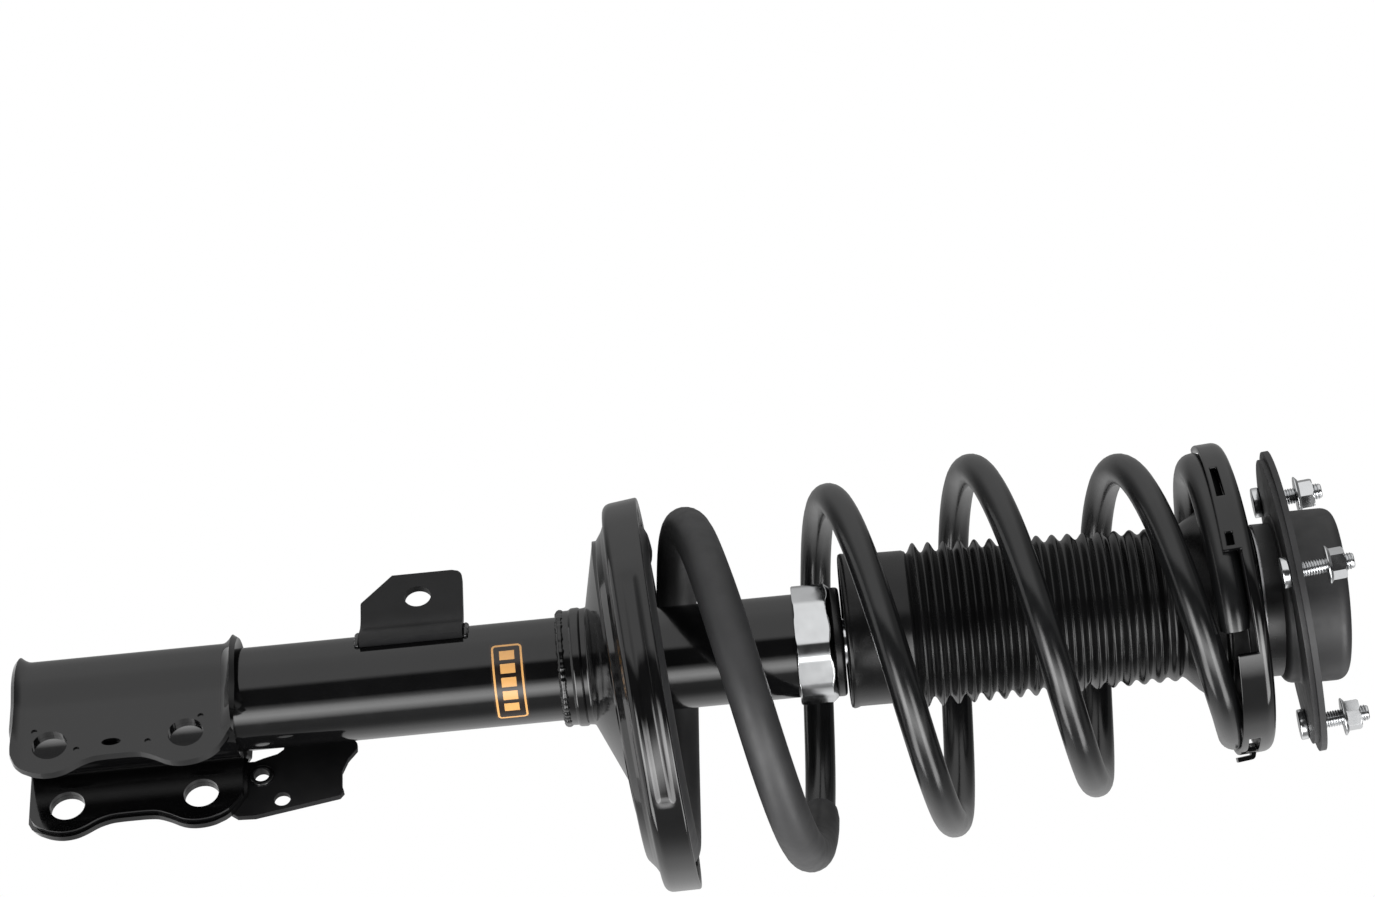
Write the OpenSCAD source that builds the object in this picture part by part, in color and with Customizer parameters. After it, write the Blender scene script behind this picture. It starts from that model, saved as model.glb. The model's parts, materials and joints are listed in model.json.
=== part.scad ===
// Front suspension strut assembly: twin-tube damper, coil spring, seats and top mount.
// +Z runs up the piston rod, +X points to the wheel side and Y lies along the knuckle bolts.
// The origin is the centre of the top mount's stud circle, on its mating face.

/* [Damper] */
// Outside diameter of the strut tube
tube_od = 50; // [49:0.5:51]
// Wall thickness of the strut tube
tube_wall = 2.5; // [2:0.25:2.75]
// Diameter of the piston rod
rod_d = 22; // [20:0.5:22]
// Distance that the tube slides up the rod before the bump stop is reached
travel = 110; // [90:5:110]

/* [Spring] */
// Diameter of the spring wire
wire_d = 15.5; // [14:0.5:15.5]
// Mean diameter of the lower coils
coil_d = 166; // [164:1:167]
// Mean diameter of the uppermost coil
coil_top_d = 129; // [128:1:131]
// Rise of the spring in one free turn
coil_pitch = 70.5; // [69:0.5:72]
// Lean of the spring and its seats from the damper axis, in degrees
spring_tilt = 4; // [3:0.5:4.5]
// Direction in which the lower seat is set out from the damper axis, in degrees from +X
lean_azimuth = 40; // [0:5:45]
// Distance from the damper axis out to the centre of the lower seat
seat_offset = 18; // [16:0.5:19]
// Sideways bow of the lower coils towards the wheel
spring_bow = 4; // [0:1:5]

/* [Lower seat] */
// Outside diameter of the lower seat's rim
pan_d = 192; // [191:0.5:196]
// Height of the lower seat's rim above its floor
pan_rim = 22; // [18:1:25]
// Thickness of the seat steel
pan_steel = 3; // [2.5:0.25:3]

/* [Top mount] */
// Diameter of the circle through the three studs
stud_pcd = 130; // [126:1:132]
// Diameter of the mounting studs
stud_d = 8; // [8:1:10]
// Length of the studs above the mating face
stud_reach = 25; // [22:1:30]
// Largest radius of the three-lobed mounting plate
plate_r = 76; // [75:0.5:78]
// Lean of the mounting plate from the damper axis, in degrees
mount_tilt = 6; // [5:0.5:6.5]
// Direction in which the mounting plate rises, in degrees from +X
mount_azimuth = 73; // [45:1:75]
// Outside radius of the dome
dome_r = 41.75; // [41:0.25:42.5]
// Height of the dome above the origin
dome_h = 20.5; // [20.5:0.5:23]

/* [Knuckle bracket] */
// Diameter of the two knuckle bolt holes
knuckle_hole_d = 17; // [14:0.5:18]
// Distance between the two knuckle bolt holes
knuckle_spacing = 65; // [62:1:66]
// Clear gap between the bracket's ears
knuckle_gap = 40; // [38:0.5:40]
// Distance from the damper axis out to the knuckle bolt holes
knuckle_reach = 39; // [38:0.5:40]

/* [Hidden] */
$fn = 96;

tube_r = tube_od / 2;
tube_in_r = tube_r - tube_wall;
rod_r = rod_d / 2;
wire_r = wire_d / 2;
running_gap = 0.05;
clear = 0.3;
big = 400;

// Heights along the damper axis
tube_bottom = -612;
tube_top = -229;
cap_t = 6;
valve_base = tube_bottom + 4;
valve_flange_t = 6;
pressure_bottom = valve_base + valve_flange_t;
seal_bottom = tube_top - 8.2;
guide_bottom = seal_bottom - 16;
guide_spigot = 8;
nut_bottom = -243;
nut_top = -224.5;
nut_web = 4.3;
striker_top = nut_top + 4.5;
piston_top = -334;
piston_h = 18;
pressure_in_r = 16;
pressure_wall = 1.5;
stub_r = 6;

// Spring frame: the origin is the top of the lower seat's floor, on the seat's own axis
floor_z = -328;
pad_t = 4;
sleeve_t = 2.2;
sleeve_gap = 0.15;
coil_low_z = pad_t + wire_r + sleeve_gap + sleeve_t + 0.4;
coil_high_z = 289.5;
end_blend = 0.12;
// Turns are counted from the azimuth phase; the free coils lie between these two counts
phase = 220 - lean_azimuth;
turn_first = -1.08;
turn_last = 4.25;
free_first = -0.39;
free_last = free_first + (coil_high_z - coil_low_z) / coil_pitch;
taper_first = 1.95;
taper_last = 3.5;
sleeve_last = 0.62;
ring_step = 1 / 32;
wire_sides = 12;
end_coil_in = 8;

// Lower seat's ledge under the rim, above its floor
pan_ledge = 7;
pan_ledge_r = 85;
pad_in_r = 60;

// Upper seat
upper_pad_z = coil_high_z + wire_r + 0.25;
upper_steel_z = upper_pad_z + pad_t;
upper_steel_t = 2.5;
skirt_r = 77;
skirt_drop = 14;
upper_pad_r = skirt_r - upper_steel_t - 0.5;
window_count = 3;
window_mid = 313 - lean_azimuth;
window_span = 38;
bearing_bottom = -20;
bearing_top = -11;
bearing_in_r = 27.5;
bearing_out_r = 36;
ball_r = 2.5;
ball_pitch_r = 31.5;
ball_count = 24;
ball_z = (bearing_bottom + bearing_top) / 2;
race_t = 3.5;
hub_r = 50;
hub_bottom = -38;
seat_bore_r = 27;

// Boot
boot_bottom = -219;
cuff_h = 33;
cuff_r = 36.8;
boot_wall = 1.5;
ridge_count = 17;
ridge_pitch = 7.5;
ridge_r = 39.3;
ridge_top_r = 36.6;
valley_r = 35.6;
cone_bottom = boot_bottom + cuff_h + ridge_count * ridge_pitch;
cone_r = 49;
bump_r = 23.5;
bump_neck_r = 19;
bump_top = bearing_top;
bump_bottom = striker_top + travel + clear;

// Mount
upper_plate_t = 3;
lower_plate_t = 2.5;
plate_lobe = 3;
lower_plate_inset = 4;
dome_wall = 3;
dome_shoulder = 8;
dome_hole_r = 17;
cup_r = 41;
cup_corner = 6;
cup_in_r = cup_r - lower_plate_t;
rod_shoulder_z = -7;
thread_r = 7;
sleeve_top = 7.5;
washer_t = 2.5;
rod_nut_h = 10;
rod_top = 20;
stud_head_t = 4;
stud_head_r = 7.5;
stud_nut_z = 12;
stud_shank_h = 11.5;
stud_relief_h = 0.5;
stud_relief_r = stud_d / 2 - 0.6;
stud_thread_r = stud_d / 2 - 0.1;
stud_press_r = stud_d / 2 + 0.3;
flare_w = 3;

// Knuckle bracket
sheet_out = 3;
sheet_in = 2.5;
ear_in = knuckle_gap / 2;
ear_mid = ear_in + sheet_in;
ear_out = ear_mid + sheet_out;
bracket_bottom = -620;
bracket_top = -513;
lower_hole_z = -600;
upper_hole_z = lower_hole_z + knuckle_spacing;
lobe_r = 17.5;
waist_x = knuckle_reach + 9;
lip_t = 3;
lip_h = 3;
hose_plate_x = 18;

// ---- Helpers ----

function clamp01(t) = min(1, max(0, t));
// Zero below -w, t above w, and a smooth bend between
function soft(t, w = end_blend) = t <= -w ? 0 : t >= w ? t : pow(t + w, 2) / (4 * w);
function unit(v) = v / norm(v);
function arc(c, r, a0, a1, steps = 8) =
    [for (i = [0:steps]) c + r * [cos(a0 + (a1 - a0) * i / steps), sin(a0 + (a1 - a0) * i / steps)]];

module ring(r_in, r_out, z0, z1) {
    translate([0, 0, z0]) difference() {
        cylinder(r = r_out, h = z1 - z0);
        translate([0, 0, -1]) cylinder(r = r_in, h = z1 - z0 + 2);
    }
}

module turned(points) {
    rotate_extrude() polygon(points);
}

module spring_space() {
    rotate(lean_azimuth) translate([seat_offset, 0, floor_z]) rotate([0, -spring_tilt, 0]) children();
}

module mount_space() {
    rotate(mount_azimuth) rotate([0, -mount_tilt, 0]) rotate(-mount_azimuth) children();
}

// Everything above local height z, as a large block
module above(z) {
    translate([-big / 2, -big / 2, z]) cube([big, big, big]);
}

module tube_bore() {
    translate([0, 0, -big * 2]) cylinder(r = tube_r, h = big * 2);
}

// A plate in the XZ plane between two Y values, from [x, z] points
module side_plate(y0, y1) {
    translate([0, y1, 0]) rotate([90, 0, 0]) linear_extrude(y1 - y0) children();
}

// ---- Spring wire ----

function turn_angle(n) = phase + 360 * n;
function coil_radius(n) = coil_d / 2
    - end_coil_in * (1 - clamp01((n - free_first) / 0.7))
    - (coil_d - coil_top_d) / 2 / (taper_last - taper_first)
        * (soft(n - taper_first) - soft(n - taper_last));
function coil_height(n) = coil_low_z + coil_pitch * (soft(n - free_first) - soft(n - free_last));
function coil_bow(n) = spring_bow * pow(sin(180 * clamp01((n + 0.7) / 2.7)), 2);
function coil_point(n) = [
    coil_radius(n) * cos(turn_angle(n)) + coil_bow(n),
    coil_radius(n) * sin(turn_angle(n)),
    coil_height(n)];
function coil_tangent(n) = unit(coil_point(n + 0.005) - coil_point(n - 0.005));
function coil_normal(n) =
    let (t = coil_tangent(n), e = [cos(turn_angle(n)), sin(turn_angle(n)), 0])
    unit(e - (e * t) * t);
function wire_ring(n, r) =
    let (c = coil_point(n), u = coil_normal(n), v = cross(coil_tangent(n), u))
    [for (k = [0:wire_sides - 1])
        c + r * (cos(360 * k / wire_sides) * u + sin(360 * k / wire_sides) * v)];
// Turn counts of the wire's rings, and of the rings that the sleeve covers
ring_count = round((turn_last - turn_first) / ring_step);
coil_turns = [for (i = [0:ring_count]) turn_first + (turn_last - turn_first) * i / ring_count];
sleeve_turns = [for (i = [1:ring_count]) if (coil_turns[i] <= sleeve_last) coil_turns[i]];
// Side faces of a tube whose rings start at point first
function side_faces(rings, first, flip) = [
    for (i = [0:rings - 2], k = [0:wire_sides - 1])
        let (a = first + i * wire_sides + k,
            b = first + i * wire_sides + (k + 1) % wire_sides,
            c = b + wire_sides,
            d = a + wire_sides)
        each flip ? [[a, c, b], [a, d, c]] : [[a, b, c], [a, c, d]]];

module wire(turns, r) {
    rings = len(turns);
    last = (rings - 1) * wire_sides;
    polyhedron(
        points = [for (n = turns) each wire_ring(n, r)],
        faces = concat(
            side_faces(rings, 0, false),
            [[for (k = [wire_sides - 1:-1:0]) k]],
            [[for (k = [0:wire_sides - 1]) last + k]]));
}

module wire_tube(turns, r_in, r_out) {
    rings = len(turns);
    inner = rings * wire_sides;
    last = (rings - 1) * wire_sides;
    polyhedron(
        points = concat(
            [for (n = turns) each wire_ring(n, r_out)],
            [for (n = turns) each wire_ring(n, r_in)]),
        faces = concat(
            side_faces(rings, 0, false),
            side_faces(rings, inner, true),
            [for (k = [0:wire_sides - 1]) let (j = (k + 1) % wire_sides)
                each [[k, inner + j, j], [k, inner + k, inner + j]]],
            [for (k = [0:wire_sides - 1]) let (j = (k + 1) % wire_sides)
                each [[last + k, last + j, inner + last + j],
                    [last + k, inner + last + j, inner + last + k]]]));
}

module coil_spring() {
    color([0.09, 0.09, 0.1]) spring_space() wire(coil_turns, wire_r);
}

module spring_sleeve() {
    color([0.25, 0.25, 0.26]) spring_space()
        wire_tube(sleeve_turns, wire_r + sleeve_gap, wire_r + sleeve_gap + sleeve_t);
}

// ---- Damper ----

module strut_tube() {
    color([0.05, 0.05, 0.05]) ring(tube_in_r, tube_r, tube_bottom, tube_top);
}

module tube_end_cap() {
    color([0.05, 0.05, 0.05]) turned(concat(
        [[0, tube_bottom - cap_t]],
        arc([tube_r - cap_t, tube_bottom], cap_t, -90, 0),
        [[tube_in_r, tube_bottom], [tube_in_r, valve_base], [0, valve_base]]));
}

module pressure_tube() {
    color([0.6, 0.6, 0.62])
        ring(pressure_in_r, pressure_in_r + pressure_wall, pressure_bottom, guide_bottom);
}

module base_valve() {
    port_r = 1.5;
    spigot_h = 6;
    color([0.55, 0.5, 0.35]) difference() {
        union() {
            ring(stub_r, tube_in_r - 0.1, valve_base, pressure_bottom);
            ring(stub_r, pressure_in_r - 0.02, pressure_bottom, pressure_bottom + spigot_h);
            translate([0, 0, valve_base]) cylinder(r = stub_r, h = valve_flange_t + spigot_h + 3);
        }
        for (a = [0:60:300]) rotate(a) translate([pressure_in_r - 4, 0, valve_base + 2])
            cylinder(r = port_r, h = big);
    }
}

module rod_guide() {
    color([0.6, 0.6, 0.62]) union() {
        ring(rod_r + running_gap, tube_in_r, guide_bottom, seal_bottom);
        ring(rod_r + running_gap, pressure_in_r, guide_bottom - guide_spigot, guide_bottom);
    }
}

module rod_seal() {
    color([0.12, 0.12, 0.12]) ring(rod_r + running_gap, tube_in_r, seal_bottom, tube_top);
}

module gland_nut() {
    nut_corner_r = 30;
    nut_round_r = 28.8;
    bore_r = rod_r + 3;
    color([0.85, 0.85, 0.86]) difference() {
        intersection() {
            translate([0, 0, nut_bottom]) rotate(22.5) cylinder(r = nut_corner_r, h = nut_top - nut_bottom, $fn = 8);
            turned([[0, nut_bottom], [nut_round_r - 1, nut_bottom], [nut_round_r, nut_bottom + 1.5],
                [nut_round_r, nut_top - 2.5], [nut_round_r - 2.5, nut_top], [0, nut_top]]);
        }
        translate([0, 0, nut_bottom - 1]) cylinder(r = tube_r, h = nut_top - nut_bottom - nut_web + 1);
        translate([0, 0, nut_bottom]) cylinder(r = bore_r, h = big);
    }
}

module striker_cap() {
    cap_r = tube_r + 1.5;
    edge_r = 3;
    color([0.06, 0.06, 0.06]) turned(concat(
        [[rod_r + 0.6, nut_top], [cap_r, nut_top]],
        arc([cap_r - edge_r, striker_top - edge_r], edge_r, 0, 90),
        [[rod_r + 0.6, striker_top]]));
}

module piston_rod() {
    edge = 1;
    color([0.8, 0.8, 0.82]) turned([
        [0, piston_top - piston_h - 14],
        [stub_r - edge, piston_top - piston_h - 14],
        [stub_r, piston_top - piston_h - 14 + edge],
        [stub_r, piston_top],
        [rod_r, piston_top],
        [rod_r, rod_shoulder_z - edge],
        [rod_r - edge, rod_shoulder_z],
        [thread_r, rod_shoulder_z],
        [thread_r, rod_top - edge],
        [thread_r - edge, rod_top],
        [0, rod_top]]);
}

module rebound_stop() {
    color([0.15, 0.15, 0.15])
        ring(rod_r, pressure_in_r - 0.8, piston_top + 52, guide_bottom - guide_spigot - clear);
}

module rebound_collar() {
    color([0.6, 0.6, 0.62]) ring(rod_r, pressure_in_r - 1, piston_top + 44, piston_top + 52);
}

module piston() {
    groove = 1;
    body_r = pressure_in_r - 0.4;
    color([0.5, 0.5, 0.5]) turned([
        [stub_r, piston_top - piston_h],
        [body_r, piston_top - piston_h],
        [body_r, piston_top - piston_h + 4],
        [body_r - groove, piston_top - piston_h + 4],
        [body_r - groove, piston_top - 4],
        [body_r, piston_top - 4],
        [body_r, piston_top],
        [stub_r, piston_top]]);
}

module piston_band() {
    color([0.3, 0.25, 0.2])
        ring(pressure_in_r - 1.4, pressure_in_r - running_gap, piston_top - piston_h + 4, piston_top - 4);
}

module piston_nut() {
    color([0.7, 0.7, 0.7]) translate([0, 0, piston_top - piston_h - 10]) difference() {
        cylinder(r = 11, h = 10, $fn = 6);
        translate([0, 0, -1]) cylinder(r = stub_r, h = 12);
    }
}

// ---- Brackets on the tube ----

// Plan of the outer stamping: round the back of the tube, then in to the ears; grow widens it
module outer_section(grow = 0) {
    round_r = tube_r + sheet_out + grow;
    difference() {
        union() {
            circle(r = round_r);
            polygon([[0, round_r], [11, round_r], [18, ear_out + grow], [big, ear_out + grow],
                [big, -ear_out - grow], [18, -ear_out - grow], [11, -round_r], [0, -round_r]]);
        }
        circle(r = tube_r);
        polygon([[9, tube_r], [16, ear_mid], [big, ear_mid], [big, -ear_mid], [16, -ear_mid], [9, -tube_r]]);
    }
}

// Side outline of the ears: a lobe round each hole and a waist between them
module ear_outline() {
    back_x = -2 * tube_r;
    waist_half = 11;
    waist_z = (lower_hole_z + upper_hole_z) / 2;
    for (z = [lower_hole_z, upper_hole_z]) translate([knuckle_reach, z]) circle(r = lobe_r);
    polygon([[back_x, bracket_bottom], [knuckle_reach - 1, bracket_bottom],
        [knuckle_reach + 8, bracket_bottom + 3], [knuckle_reach + 14, lower_hole_z - 8],
        [knuckle_reach + 14, lower_hole_z + 9], [waist_x, waist_z - waist_half],
        [waist_x, waist_z + waist_half], [knuckle_reach + 14, upper_hole_z - 9],
        [knuckle_reach + 14, upper_hole_z + 8], [knuckle_reach + 6, bracket_top - 4],
        [knuckle_reach + 2, bracket_top], [back_x, bracket_top]]);
}

module knuckle_holes() {
    for (z = [lower_hole_z, upper_hole_z])
        translate([knuckle_reach, big / 2, z]) rotate([90, 0, 0]) cylinder(d = knuckle_hole_d, h = big);
}

// Outer stamping; its upper lip is trimmed where the hose bracket lies on the far ear
module knuckle_bracket() {
    color([0.05, 0.05, 0.05]) difference() {
        intersection() {
            union() {
                translate([0, 0, bracket_bottom]) linear_extrude(bracket_top - bracket_bottom) outer_section();
                for (z = [bracket_bottom, bracket_top - lip_h])
                    translate([0, 0, z]) linear_extrude(lip_h) outer_section(lip_t);
            }
            side_plate(-big / 2, big / 2) ear_outline();
        }
        knuckle_holes();
        translate([hose_plate_x, ear_out, bracket_top - lip_h]) cube([big, big, 2 * lip_h]);
    }
}

module bracket_reinforcement() {
    wrap_r = tube_r + sheet_in;
    color([0.05, 0.05, 0.05]) difference() {
        intersection() {
            translate([0, 0, bracket_bottom + 2]) linear_extrude(bracket_top - bracket_bottom - 4)
                difference() {
                    union() {
                        intersection() {
                            circle(r = wrap_r);
                            translate([16, -ear_mid]) square([big, 2 * ear_mid]);
                        }
                        for (s = [-1, 1]) translate([16, s > 0 ? ear_in : -ear_mid]) square([big, sheet_in]);
                    }
                    circle(r = tube_r);
                }
            side_plate(-big / 2, big / 2) ear_outline();
        }
        knuckle_holes();
    }
}

// Flat tab that stands out from the tube, with a foot curved to the tube
module link_bracket() {
    tab_y = -16;
    tab_t = 4;
    tab_hole = [-38.3, -424];
    tab_top = -55.6;
    corner = 4;
    z0 = -452;
    z1 = -402;
    foot_t = 3.5;
    color([0.05, 0.05, 0.05]) difference() {
        union() {
            side_plate(tab_y - tab_t, tab_y) polygon(concat(
                [[-12, z0], [-37, z0], [tab_top + 1, -436]],
                arc([tab_top + corner, z1 - corner - 3], corner, 180, 90),
                [[-12, z1]]));
            intersection() {
                ring(tube_r, tube_r + foot_t, z0, z1);
                rotate(212) translate([0, 0, z0 - 1])
                    linear_extrude(z1 - z0 + 2) polygon([[0, 0], [big, 0], [big, big * 1.4]]);
            }
        }
        tube_bore();
        translate([tab_hole[0], big / 2, tab_hole[1]]) rotate([90, 0, 0]) cylinder(d = 13, h = big);
    }
}

// Flat bracket for the brake hose and sensor wire, on the far side of the tube and of one ear
module brake_hose_bracket() {
    plate_t = 3;
    rim_r = 6;
    rim_h = 1.5;
    hose_hole = [28.2, -506.5];
    clip_hole = [43.2, -496.5];
    color([0.05, 0.05, 0.05]) difference() {
        union() {
            side_plate(ear_out, ear_out + plate_t) polygon([
                [2, -496], [2, -466], [12.5, -460], [16, -460], [22, -464.5], [29.5, -467.5],
                [38, -467.5], [42, -466.5], [44.5, -468.5], [52, -510], [51.5, -518], [46, -524.5],
                [36, -525.5], [29, -527.5], [20, -531], [hose_plate_x, -526], [hose_plate_x, -510], [16.5, -506], [14.5, -499], [12, -496]]);
            side_plate(0, ear_out + plate_t) polygon([[2, -494], [2, -468], [9, -468], [9, -494]]);
            translate([hose_hole[0], ear_out, hose_hole[1]]) rotate([90, 0, 0]) cylinder(r = rim_r, h = rim_h);
        }
        tube_bore();
        translate([hose_hole[0], big / 2, hose_hole[1]]) rotate([90, 0, 0]) cylinder(d = 7.5, h = big);
        translate([clip_hole[0], big / 2, clip_hole[1]]) rotate([90, 0, 0]) cylinder(d = 8, h = big);
    }
}

module tube_label() {
    label_t = 0.15;
    z0 = -389.5;
    z1 = -373;
    color([0.85, 0.5, 0.25]) intersection() {
        ring(tube_r, tube_r + label_t, z0, z1);
        rotate(275) translate([0, 0, z0 - 1])
            linear_extrude(z1 - z0 + 2) polygon([[0, 0], [big, 0], [big, big], [-big * 0.09, big]]);
    }
}

// ---- Spring seats ----

// Outline of the seat's dish from its axis to the rim, thickness t below the upper surface
function dish_side(t) =
    let (rim_r = pan_d / 2 - pan_steel + t, ledge_z = pan_ledge - t)
    concat(
        [[0, -t], [pan_ledge_r - 8, -t]],
        [[pan_ledge_r - 3, pan_ledge / 2 - t], [pan_ledge_r, ledge_z - 1], [pan_ledge_r + 1.5, ledge_z]],
        arc([rim_r - 4 - t / 2, ledge_z + 4 + t / 2], 4 + t / 2, -90, 0, 6),
        [[rim_r, pan_rim]]);

module lower_spring_seat() {
    collar_r = tube_r + 3.6;
    collar_bottom = -354;
    collar_top = -342;
    cone_out = 70;
    cone_slope = 0.485;
    cone_t = pan_steel * 1.15;
    cone_rise = (cone_out - collar_r) * cone_slope;
    hole_r = 49;
    hole_shift = 6;
    outer = dish_side(pan_steel);
    inner = dish_side(0);
    color([0.05, 0.05, 0.05]) difference() {
        union() {
            difference() {
                spring_space() turned(concat(outer, [for (i = [len(inner) - 1:-1:0]) inner[i]]));
                rotate(lean_azimuth) translate([hole_shift, 0, -big]) cylinder(r = hole_r, h = big);
            }
            difference() {
                turned([[tube_r, collar_bottom], [collar_r - 1, collar_bottom], [collar_r, collar_bottom + 1],
                    [collar_r, collar_top], [cone_out, collar_top + cone_rise],
                    [cone_out, collar_top + cone_rise + cone_t], [collar_r, collar_top + cone_t],
                    [tube_r, collar_top + cone_t]]);
                spring_space() above(0);
            }
        }
        tube_bore();
    }
}

module lower_insulator() {
    color([0.1, 0.1, 0.1]) spring_space() turned([
        [pad_in_r, 0], [pan_ledge_r - 8.5, 0], [pan_ledge_r - 5, pad_t], [pad_in_r + 6, pad_t],
        [pad_in_r + 4, pad_t + 2], [pad_in_r, pad_t + 2]]);
}

module upper_insulator() {
    color([0.1, 0.1, 0.1]) difference() {
        union() {
            spring_space() turned([
                [hub_r - 6, upper_pad_z], [upper_pad_r, upper_pad_z], [upper_pad_r, upper_steel_z],
                [hub_r - 6, upper_steel_z]]);
            translate([0, 0, hub_bottom]) cylinder(r = hub_r, h = -hub_bottom);
        }
        spring_space() above(upper_steel_z);
        translate([0, 0, hub_bottom - 1]) cylinder(r = seat_bore_r + 3, h = big);
    }
}

module upper_spring_seat() {
    bend_r = 5;
    skirt_bottom = upper_steel_z - skirt_drop;
    // Angle from the window's middle, length and height of each slot in the skirt
    slots = [[-50, 20, 5.5], [-23.5, 5, 4]];
    slot_z = skirt_bottom + 3;
    // Lip bent out of the skirt on the wheel side
    hook_w = 8;
    hook_out = 5;
    hook_t = 2;
    hook_top = skirt_bottom + 9;
    color([0.05, 0.05, 0.05]) difference() {
        union() {
            spring_space() turned(concat(
                [[0, upper_steel_z], [skirt_r - upper_steel_t, upper_steel_z],
                    [skirt_r - upper_steel_t, skirt_bottom], [skirt_r, skirt_bottom]],
                arc([skirt_r - bend_r, upper_steel_z + upper_steel_t - bend_r], bend_r, 0, 90),
                [[0, upper_steel_z + upper_steel_t]]));
            spring_space() {
                translate([skirt_r - 1, -hook_w / 2, hook_top - hook_t]) cube([hook_out + 1, hook_w, hook_t]);
                translate([skirt_r + hook_out - hook_t, -hook_w / 2, skirt_bottom - 1])
                    cube([hook_t, hook_w, hook_top - skirt_bottom + 1]);
            }
            difference() {
                translate([0, 0, bearing_bottom - 10]) cylinder(r = bearing_out_r + 1.5, h = 10);
                spring_space() rotate([180, 0, 0]) above(-upper_steel_z);
            }
        }
        translate([0, 0, -big / 2]) cylinder(r = seat_bore_r, h = big / 2);
        spring_space() for (i = [0:window_count - 1]) {
            rotate(window_mid + i * 360 / window_count) translate([0, 0, skirt_bottom - 1])
                linear_extrude(skirt_drop + 1 - 2)
                    polygon([[skirt_r - 6, -sin(window_span / 2) * skirt_r], [big, -sin(window_span / 2) * skirt_r],
                        [big, sin(window_span / 2) * skirt_r], [skirt_r - 6, sin(window_span / 2) * skirt_r]]);
            for (s = slots) rotate(window_mid + i * 360 / window_count + s[0])
                translate([skirt_r - 6, -s[1] / 2, slot_z]) cube([12, s[1], s[2]]);
        }
    }
}

// ---- Boot and bump stop ----

function ridge_point_r(i) = ridge_r + (ridge_top_r - ridge_r) * i / ridge_count;
// Outline of the boot, moved in by the wall thickness on its inner side
function boot_side(inset) = concat(
    [[cuff_r - inset, boot_bottom], [cuff_r - inset, boot_bottom + cuff_h]],
    [for (i = [0:ridge_count - 1], p = [[0, 0.12], [1, 0.42], [1, 0.58], [0, 0.88]])
        [(p[0] > 0 ? ridge_point_r(i) : valley_r) - inset,
            boot_bottom + cuff_h + (i + p[1]) * ridge_pitch]],
    [[valley_r - inset, cone_bottom], [cone_r - inset, hub_bottom - 2], [cone_r - inset, hub_bottom]]);

module dust_boot() {
    outer = boot_side(0);
    inner = boot_side(boot_wall);
    last = len(inner) - 1;
    color([0.07, 0.07, 0.07]) turned(concat(outer, [for (i = [last:-1:0]) inner[i]]));
}

module bump_stop() {
    waist_r = bump_r - 4;
    rolls = 3;
    roll_h = (-32 - bump_bottom) / rolls;
    bore_r = rod_r + clear;
    color([0.75, 0.7, 0.5]) turned(concat(
        [[bore_r, bump_bottom]],
        [for (i = [0:rolls - 1], p = [[-2, 0.02], [0, 0.2], [0, 0.7], [-4, 0.9]])
            [bump_r + p[0], bump_bottom + (i + p[1]) * roll_h]],
        [[waist_r, -32], [bump_neck_r, -28], [bump_neck_r, bump_top], [bore_r, bump_top]]));
}

// ---- Bearing ----

module race_groove() {
    rotate_extrude() translate([ball_pitch_r, ball_z]) circle(r = ball_r + running_gap, $fn = 48);
}

module bearing_lower_race() {
    color([0.7, 0.7, 0.72]) difference() {
        ring(bearing_in_r, bearing_out_r - 0.8, bearing_bottom, bearing_bottom + race_t);
        race_groove();
    }
}

module bearing_upper_race() {
    color([0.1, 0.1, 0.1]) difference() {
        union() {
            ring(bearing_in_r, bearing_out_r, bearing_top - race_t, bearing_top);
            ring(bearing_out_r - 0.3, bearing_out_r + 1, bearing_bottom + 1, bearing_top);
        }
        race_groove();
    }
}

module bearing_balls() {
    color([0.8, 0.8, 0.82]) for (i = [0:ball_count - 1])
        rotate(i * 360 / ball_count) translate([ball_pitch_r, 0, ball_z]) sphere(r = ball_r, $fn = 32);
}

// ---- Top mount ----

function trefoil_r(a, r) = r - plate_lobe * (1 - cos(3 * (a - 60)));
module trefoil(r) {
    polygon([for (a = [0:3:357]) trefoil_r(a, r) * [cos(a), sin(a)]]);
}

module at_studs() {
    for (a = [60, 180, 300]) rotate(a) translate([stud_pcd / 2, 0, 0]) children();
}

module stud_clearance() {
    mount_space() at_studs() translate([0, 0, -big / 2]) cylinder(r = stud_press_r, h = big);
}

module mount_upper_plate() {
    color([0.06, 0.06, 0.06]) difference() {
        union() {
            difference() {
                mount_space() translate([0, 0, -upper_plate_t]) linear_extrude(upper_plate_t) trefoil(plate_r);
                translate([0, 0, -big / 2]) cylinder(r = dome_r - dome_wall, h = big);
            }
            intersection() {
                turned(concat(
                    [[dome_r, -20]],
                    arc([dome_r - dome_shoulder, dome_h - dome_shoulder], dome_shoulder, 0, 90),
                    [[dome_hole_r, dome_h], [dome_hole_r, dome_h - dome_wall]],
                    arc([dome_r - dome_shoulder, dome_h - dome_shoulder], dome_shoulder - dome_wall, 90, 0),
                    [[dome_r - dome_wall, -20]]));
                mount_space() above(-upper_plate_t);
            }
            mount_space() turned([[dome_r - 1, -1], [dome_r + flare_w, -1], [dome_r + flare_w, 0],
                [dome_r + 1.2, 0.7], [dome_r - 1, flare_w]]);
        }
        stud_clearance();
    }
}

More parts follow.
